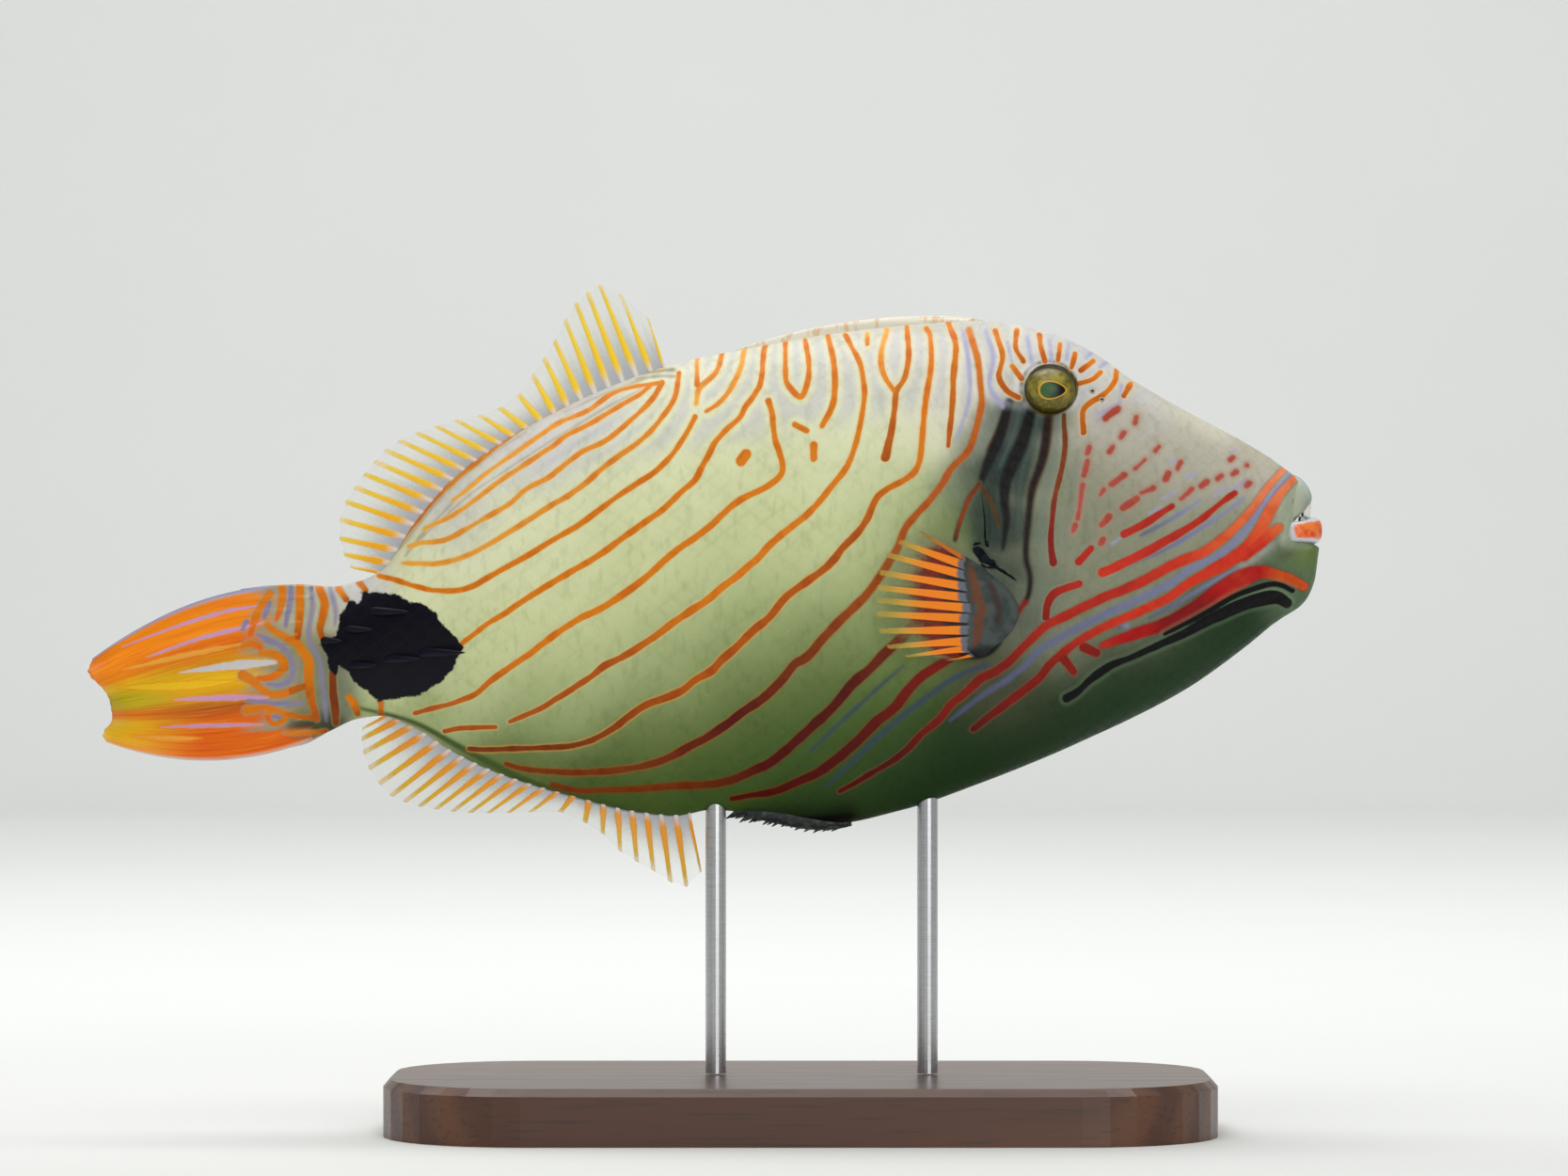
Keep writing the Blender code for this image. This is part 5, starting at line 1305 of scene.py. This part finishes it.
def makeTailSpines():
    parts = []
    for side in (-1, 1):
        for along, height, length in tailSpines["tips"]:
            root = along - length
            inside = side * (float(flank(root, height)) - 1.6)
            outside = side * (float(flank(along, height)) + tailSpines["lift"])
            radius = tailSpines["radius"] * (0.6 + 0.04 * length)
            rings = spineRings((root, inside, height), (along, outside, height), radius,
                               bow=(0, side * 0.9, 0), flatten=0.85)
            parts.append(tube(rings))
    f = Finish("blackSpine", roughness=0.42, Specular_IOR_Level=0.16)
    tint = f.mix(f.noise(0.5, 2.0), (0.002, 0.002, 0.006), (0.006, 0.006, 0.018))
    made = piece("tailSpines", *joined(parts), f.feed(Base_Color=tint))


makeTailSpines()

# eyes
print("eyes and mouth")


def eyeFinish():
    f = Finish("eyeball", roughness=0.3, Specular_IOR_Level=0.3)
    pupil, ring, turn = f.value("pupil"), f.value("rim"), f.value("front")
    grain = f.noise(0.55, 3.0)
    iris = f.mix(f.step(grain, 0.35, 0.65), linear((106, 98, 46)), linear((152, 142, 64)))
    iris = f.mix(f.step(f.value("low") + (grain - 0.5) * 1.2, 0.1, 0.9) * 0.8, iris, linear((92, 78, 30)))
    iris = f.mix(f.step(f.noise(1.6, 2.0), 0.56, 0.7) * 0.5, iris, linear((186, 150, 54)))
    iris = f.mix(f.step(ring, 0.72, 0.98) * 0.6, iris, linear((60, 62, 34)))
    tint = f.mix(f.step(0.42 - pupil, 0.0, 0.16), iris, linear((214, 158, 62)))
    # pupil: near black towards the snout, green towards the back, a painted reflection
    dark = f.mix(f.step(turn, -0.75, 0.85), linear((70, 104, 66)), linear((8, 22, 24)))
    tint = f.mix(f.step(0.08 - pupil, 0.0, 0.12), tint, dark)
    tint = f.mix(f.step(ring, 0.95, 1.03), tint, linear((30, 32, 24)))
    return f.feed(Base_Color=tint)


eyeMaterial = eyeFinish()


def eyeCentre(side):
    depth = float(flank(eye["along"], eye["height"])) - eye["seat"]
    return np.array([eye["along"], side * depth, eye["height"]])


def makeEye(name, node, side):
    centre = eyeCentre(side)
    points, faces = ballAt(centre, np.array((1, 1, eye["tall"])) * eye["radius"], around=96, rings=64)
    p = np.array(points)
    u, w = p[:, 0] - eye["along"] - 0.5, p[:, 2] - eye["height"] - 0.2
    half = 1.65 * (1 - 0.28 * np.clip(u / 2.65, -1, 1))
    outside = np.where(side * (p[:, 1] - centre[1]) > 0, 0.0, 9.0)
    pupil = (np.sqrt((u / 2.65) ** 2 + (w / half) ** 2) - 1) * 2.1 + outside
    rim = np.hypot(p[:, 0] - eye["along"], (p[:, 2] - eye["height"]) * 1.12) / 5.5
    made = piece(name, points, faces, eyeMaterial, dict(pupil=pupil, rim=rim, front=u / 2.65, low=-w / 5.0))
    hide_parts(node)


makeEye("eyeRight", "eye_right", -1)
makeEye("eyeLeft", "eye_left", 1)


def rimFinish(name, dull, pale):
    f = Finish(name, roughness=0.5, Specular_IOR_Level=0.16)
    deep = f.value("deep")
    tint = f.mix(f.step(f.noise(0.8, 2.0), 0.4, 0.7), linear(dull), linear(pale))
    # darker where deep is high: painted shade down in the nostrils and under the lid's inner edge
    tint = f.mix(f.step(deep, 0.25, 0.6), tint, linear((78, 70, 40)))
    tint = f.mix(f.step(deep, 0.8, 1.0), tint, linear((16, 16, 14)))
    return f.feed(Base_Color=tint, Normal=f.bump(f.noise(1.2, 3.0), 0.08, 0.5))


def turned(centre, facing, outline, around=72, wave=0.0, stretch=1.0):
    # a ring turned about the line that faces outwards: outline of radius, height and darkness
    facing = np.asarray(facing, float) / np.linalg.norm(facing)
    side = np.cross((0, 0, 1.0), facing)
    side /= np.linalg.norm(side)
    up = np.cross(facing, side)
    points, deep = [], []
    for radius, height, dark in outline:
        for k in range(around):
            a = 2 * math.pi * k / around
            r = radius * (1 + wave * math.sin(3 * a + 1) + 0.5 * wave * math.sin(7 * a))
            beside = side * r * stretch * math.cos(a)
            points.append(np.asarray(centre) + beside + up * r * math.sin(a) + facing * height)
            deep.append(dark)
    faces = gridFaces(len(outline), around, closed=True)
    return points, faces, deep


def facingOut(along, height, side, away=0.3):
    # which way the body's surface faces at a place on its side
    ahead = (flank(along + away, height) - flank(along - away, height)) / (2 * away)
    above = (flank(along, height + away) - flank(along, height - away)) / (2 * away)
    return np.array([-float(ahead), side, -float(above)])


def makeRims(name, rings, dull, pale):
    parts, deep = [], []
    for points, faces, dark in rings:
        parts.append((points, faces))
        deep += dark
    piece(name, *joined(parts), rimFinish(name + "Skin", dull, pale), dict(deep=deep))


lid = dict(radius=4.85, thick=0.36, lift=2.9, stretch=1.09)
lidRings, nostrilRings = [], []
for side in (-1, 1):
    ballCentre = eyeCentre(side)
    outline = []
    # darkness rises on the lid's inner side towards the ball: painted shade where lid and ball meet
    for a in np.linspace(-0.35 * math.pi, 1.25 * math.pi, 16):
        height = lid["lift"] + 0.8 * lid["thick"] * math.sin(a)
        outline.append((lid["radius"] + lid["thick"] * math.cos(a), height, float(smooth(1.6, 3.4, a))))
    facing = facingOut(eye["along"], eye["height"], side, 4.0)
    lidRings.append(turned(ballCentre, facing, outline, wave=0.004, stretch=lid["stretch"]))
    for along, height in toMm(nostrils["places"]):
        facing = facingOut(along, height, side)
        start = (along, side * float(flank(along, height)), height)
        nostrilRings.append(turned(start, facing, nostrils["rim"], around=28, wave=0.03))
makeRims("eyeRims", lidRings, (84, 78, 46), (122, 112, 72))
makeRims("nostrilRims", nostrilRings, (160, 154, 134), (176, 170, 150))

# gill opening: near-black seams that lie in the skin, painted shadow inside the slit, the hole and the fold
gillSeams = dict(
    slit=([(1036, 593), (1043, 601), (1050, 604), (1057, 602), (1065, 607), (1073, 612), (1081, 617)],
          (.5, .5, .35, .4, .38, .34, .06)),
    fold=([(1043, 523), (1046, 545), (1047, 560), (1047, 579)], (.04, .13, .16, .24)),
    brim=([(1030, 580), (1038, 577), (1048, 578), (1053, 588), (1057, 601)], (.35, .5, .65, .5, .4)),
    hole=([(1030, 583), (1036, 587), (1043, 590), (1050, 594), (1057, 599)], (.5, 1.4, 1.7, 1.3, .4)),
)


def onFlank(seen, side):
    # the solid place on the near side that is seen at a place of the drawing
    centre = np.array(camera["centre"])
    place = np.array(seen, float)
    for _ in range(3):
        reach = camera["away"] / (camera["away"] - float(flank(*place)))
        place = centre + (seen - centre) / reach
    return np.array([place[0], side * float(flank(*place)), place[1]])


def makeGill():
    parts = []
    for points, halves in gillSeams.values():
        curve = smoothCurve(toMm(points), 0.25)
        half = np.interp(np.linspace(0, 1, len(curve)), np.linspace(0, 1, len(halves)), halves)
        lie = np.gradient(curve, axis=0)
        lie /= np.linalg.norm(lie, axis=1)[:, None]
        for side in (-1, 1):
            rings = []
            for spot, along, wide in zip(curve, lie, half):
                wide *= 1 + 0.14 * math.sin(3.1 * spot[0]) + 0.1 * math.sin(5.3 * spot[1])
                ring = []
                for a in np.arange(12) * 2 * math.pi / 12:
                    x, y, z = onFlank(spot + wide * math.cos(a) * np.array([-along[1], along[0]]), side)
                    ring.append((x, y + side * (0.3 * math.sin(a) - 0.26), z))
                rings.append(ring if side < 0 else ring[::-1])
            parts.append(tube(rings))
    f = Finish("gillShadow", roughness=0.6, Specular_IOR_Level=0.06)
    tint = f.mix(f.step(f.noise(0.9, 2.0), 0.4, 0.7), (0.002, 0.003, 0.004), (0.008, 0.012, 0.014))
    piece("gillOpening", *joined(parts), f.feed(Base_Color=tint))


makeGill()

# lips and teeth
mouth = dict(
    # plan: middle of the arc, its reach forward and half width;
    # heights of the lip's middle in front and at the corner
    upper=dict(middle=102.6, reach=3.4, half=4.7, front=136.4, corner=130.8, thick=2.2, tall=3.1, lean=1.6,
               slim=0.55, low=0.2,
               square=1.0, sunk=0.9, sinkFrom=28),
    lower=dict(middle=103.4, reach=5.4, half=4.9, front=127.6, corner=127.3, thick=2.1, tall=2.8, lean=0.0,
               slim=0.25, low=0.25,
               square=0.8, sunk=0.5, sinkFrom=70),
    teethMiddle=103.6, upperTeeth=dict(reach=4.5, half=4.1, root=134.8, edge=130.2),
    lowerTeeth=dict(reach=3.7, half=3.4, root=127.5, edge=130.9), teeth=8, spread=46,
)


def lipMesh(lip):
    rings, level, turn = [], [], []
    for angle in np.radians(np.linspace(-114, 114, 120)):
        bend = math.sin(angle) ** 2
        x, y = lip["middle"] + lip["reach"] * math.cos(angle), lip["half"] * math.sin(angle)
        z = lip["front"] + (lip["corner"] - lip["front"]) * bend
        end = 1 - lip["sunk"] * float(smooth(lip["sinkFrom"], 112, abs(math.degrees(angle))))
        thick = lip["thick"] * (1 - lip["slim"] * bend) * end
        sunk = lip["sunk"] * float(smooth(80, 112, abs(math.degrees(angle))))
        tall = lip["tall"] * (1 - lip["low"] * bend) * (1 - 0.6 * sunk)
        b = np.arange(44) * 2 * math.pi / 44
        c, q = (np.sign(v) * np.abs(v) ** lip["square"] for v in (np.cos(b), np.sin(b)))
        pleat = 1 + (1 - 0.8 * bend) * (0.014 * np.sin(40 * angle + 1.5 * q) + 0.01 * np.sin(17 * angle))
        out = thick * pleat * c - lip["lean"] * (1 - 0.6 * bend) * end * q
        rings.append(np.stack([x + math.cos(angle) * out, y + math.sin(angle) * out, z + tall * pleat * q],
                              axis=1))
        level.append(q)
        turn.append(np.full(44, abs(angle)))
    points, faces = tube(rings)
    ends = [0, 0]
    level, turn = (np.concatenate([np.concatenate(values), ends]) for values in (level, turn))
    return points, faces, level, turn


def lowerLipFinish():
    f = Finish("lowerLip", roughness=0.42, Coat_Weight=0.12, Coat_Roughness=0.3)
    patchy = f.noise(0.5, 3.0)
    level = f.value("level") + (patchy - 0.5) * 0.45
    turn = f.value("turn") + (patchy - 0.5) * 0.35
    centre = f.mix(f.step(patchy, 0.35, 0.62), linear((232, 74, 34)), linear((246, 134, 58)))
    pale = f.mix(f.noise(0.8, 2.0), linear((222, 226, 230)), linear((196, 204, 216)))
    tint = f.mix(f.step(level, 0.9, 0.72), pale, centre)
    tint = f.mix(f.step(level, -0.5, -0.72), tint, pale)
    tint = f.mix(f.step(turn, 1.3, 1.45), tint, pale)
    tint = f.mix(f.step(turn, 1.35, 1.75), tint, linear((150, 162, 146)))
    return f.feed(Base_Color=tint, Normal=f.bump(f.noise(1.4, 3.0, stretch=(1, 1, 0.3)), 0.16, 0.6))


def upperLipFinish():
    f = Finish("upperLip", roughness=0.46, Specular_IOR_Level=0.25)
    mottle = f.noise(0.45, 3.0)
    level = f.value("level") + (mottle - 0.5) * 0.9
    # lighter on top and darker underneath, darkest under the lip towards its corners: painted shade on the
    # lip's lower side
    tint = f.mix(f.step(level, -0.8, 0.3), linear((112, 122, 104)), linear((160, 170, 150)))
    tint = f.mix(f.step(level, 0.3, 1.1), tint, linear((168, 180, 160)))
    tint = f.mix(f.step(f.value("turn"), 0.9, 0.2) * 0.7, tint, linear((184, 196, 188)))
    tint = f.mix(f.step(mottle, 0.52, 0.7) * 0.4, tint, linear((118, 134, 106)))
    tint = f.mix(f.step(f.value("turn"), 0.4, 0.85), tint, linear((164, 170, 148)))
    tint = f.mix(f.step(level, -0.55, -1.0) * f.step(f.value("turn"), 0.6, 1.1), tint, linear((98, 102, 86)))
    return f.feed(Base_Color=tint, Normal=f.bump(f.noise(1.4, 3.0, stretch=(1, 1, 0.4)), 0.16, 0.7))


for name, node, key, finish in (
    ("upperLip", "upper_lip", "upper", upperLipFinish),
    ("lowerLip", "lower_lip", "lower", lowerLipFinish),
):
    points, faces, level, turn = lipMesh(mouth[key])
    made = piece(name, points, faces, finish(), dict(level=level, turn=turn))
    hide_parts(node)


def toothMesh(row, number, count):
    middle = math.radians(-mouth["spread"] + 2 * mouth["spread"] * (number + 0.5) / count)
    wide = 0.5 * math.radians(2 * mouth["spread"]) / count
    shorter = 0.2 * math.sin(middle) ** 2 + 0.03 * math.sin(5 * number)
    rings = []
    for s in np.linspace(0, 1, 12):
        height = row["root"] + (row["edge"] + shorter * (row["root"] - row["edge"]) - row["root"]) * s
        thick = 0.6 * (1 - 0.5 * s) * (1 - 0.6 * smooth(0.8, 1.0, s))
        span = wide * (1.05 - 0.3 * smooth(0.8, 1.0, s))
        ring = []
        for a in np.arange(16) * 2 * math.pi / 16:
            c, q = math.cos(a), math.sin(a)
            across = math.copysign(abs(c) ** 0.6, c) * span
            out = math.copysign(abs(q) ** 0.6, q) * thick
            angle = middle + across
            forward = mouth["teethMiddle"] + (row["reach"] + out) * math.cos(angle)
            ring.append((forward, (row["half"] + out) * math.sin(angle), height))
        rings.append(ring)
    return tube(rings)


toothEnamel = Finish("toothEnamel", roughness=0.2, Coat_Weight=0.4)
toothTint = toothEnamel.mix(toothEnamel.noise(0.5, 2.0), linear((250, 249, 244)), linear((238, 232, 218)))
toothEnamel.feed(Base_Color=toothTint)
for name, node, key in (("upperTeeth", "upper_teeth", "upperTeeth"),
                        ("lowerTeeth", "lower_teeth", "lowerTeeth")):
    parts = [toothMesh(mouth[key], n, mouth["teeth"]) for n in range(mouth["teeth"])]
    made = piece(name, *joined(parts), toothEnamel.material)
    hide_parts(node)

# stand
print("stand")


def woodFinish():
    f = Finish("walnut", roughness=0.35, Coat_Weight=0.25, Coat_Roughness=0.2)
    rings = f.add("ShaderNodeTexWave", {"wave_type": "BANDS", "bands_direction": "Y"},
                  {"Vector": f.place((60, 700, 700), (0.2, 0, 0.06)), "Scale": 0.06, "Distortion": 16.0,
                   "Detail": 4.0, "Detail Scale": 0.22})
    pores = f.noise(1.2, 3.0, stretch=(0.05, 1, 1))
    tint = f.mix(f.step(rings, 0.0, 1.0), linear((80, 49, 32)), linear((98, 62, 40)))
    tint = f.mix(f.step(pores, 0.5, 0.75) * 0.5, tint, linear((40, 24, 16)))
    return f.feed(Base_Color=tint, Roughness=0.3 + pores * 0.18, Normal=f.bump(pores, 0.05, 0.4))


def steelFinish():
    f = Finish("brushedRod", roughness=0.28, Metallic=1.0)
    brushed = f.noise(1.0, 2.0, stretch=(0.3, 0.3, 6.0))
    tint = f.mix(brushed, linear((176, 178, 180)), linear((214, 214, 214)))
    return f.feed(Base_Color=tint, Roughness=0.22 + brushed * 0.16)


wood, steel = woodFinish(), steelFinish()
for node, material in (("stand_base", wood), ("stand_rod_front", steel), ("stand_rod_rear", steel)):
    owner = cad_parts[node]
    owner.material_slots[0].material = material

# floor, light and camera
stage = dict(floor=(233, 234, 231), floorShade=(228, 229, 226), depth=2.0, wide=4.5, rise=2.6, bend=0.5)


def makeStage():
    profileLine = [(-1.6, 0.0), (stage["depth"], 0.0)]
    for a in np.linspace(0, math.pi / 2, 24):
        profileLine.append((stage["depth"] + stage["bend"] * math.sin(a), stage["bend"] * (1 - math.cos(a))))
    profileLine.append((stage["depth"] + stage["bend"], stage["rise"]))
    points = []
    for y, z in profileLine:
        points += [(-stage["wide"], y, z), (stage["wide"], y, z)]
    faces = [(2 * i, 2 * i + 1, 2 * i + 3, 2 * i + 2) for i in range(len(profileLine) - 1)]
    mesh = bpy.data.meshes.new("floor")
    mesh.from_pydata(points, [], faces)
    mesh.shade_smooth()
    f = Finish("paleFloor", roughness=0.85)
    cloud = f.noise(0.004, 3.0)
    tint = f.mix(cloud, linear(stage["floor"]), linear(stage["floorShade"]))
    mesh.materials.append(f.feed(Base_Color=tint, Roughness=0.8 + cloud * 0.1))
    floor = bpy.data.objects.new("floor", mesh)
    bpy.context.scene.collection.objects.link(floor)


makeStage()
lights = dict(
    above=dict(place=(-0.15, -0.45, 1.15), aim=(0, 0, 0.12), size=0.9, watts=4.6, colour=(1.0, 0.98, 0.94)),
    front=dict(place=(0.35, -1.25, 0.45), aim=(0, 0, 0.12), size=0.9, watts=5.6, colour=(1.0, 1.0, 1.0)),
    behind=dict(place=(-0.5, 0.5, 0.9), aim=(0, 0, 0.15), size=0.5, watts=1.4, colour=(0.92, 0.96, 1.0)),
    backdrop=dict(place=(0.0, 0.5, 1.8), aim=(0, 2.2, 0.3), size=1.6, watts=34.0, colour=(1.0, 1.0, 1.0)),
)


def aimed(owner, place, aim):
    owner.location = place
    owner.rotation_euler = (mathutils.Vector(aim) - mathutils.Vector(place)).to_track_quat("-Z",
            "Y").to_euler()


for name, light in lights.items():
    data = bpy.data.lights.new(name, "AREA")
    data.shape, data.size, data.energy, data.color = "DISK", light["size"], light["watts"], light["colour"]
    owner = bpy.data.objects.new(name, data)
    bpy.context.scene.collection.objects.link(owner)
    aimed(owner, light["place"], light["aim"])

world = bpy.data.worlds.new("studio")
bpy.context.scene.world = world
world.use_nodes = True
studio = dict(colour=(0.93, 0.95, 1.0, 1), strength=0.26)
background = world.node_tree.nodes["Background"]
background.inputs["Color"].default_value = studio["colour"]
background.inputs["Strength"].default_value = studio["strength"]

data = bpy.data.cameras.new("camera")
data.lens, data.sensor_width = camera["lens"], camera["sensor"]
data.clip_end = 20
viewer = bpy.data.objects.new("camera", data)
bpy.context.scene.collection.objects.link(viewer)
viewer.location = (camera["centre"][0] * mm, -camera["away"] * mm, camera["centre"][1] * mm)
viewer.rotation_euler = (math.pi / 2, 0, 0)
bpy.context.scene.camera = viewer
bpy.context.scene.view_settings.view_transform = "Standard"

print("done")
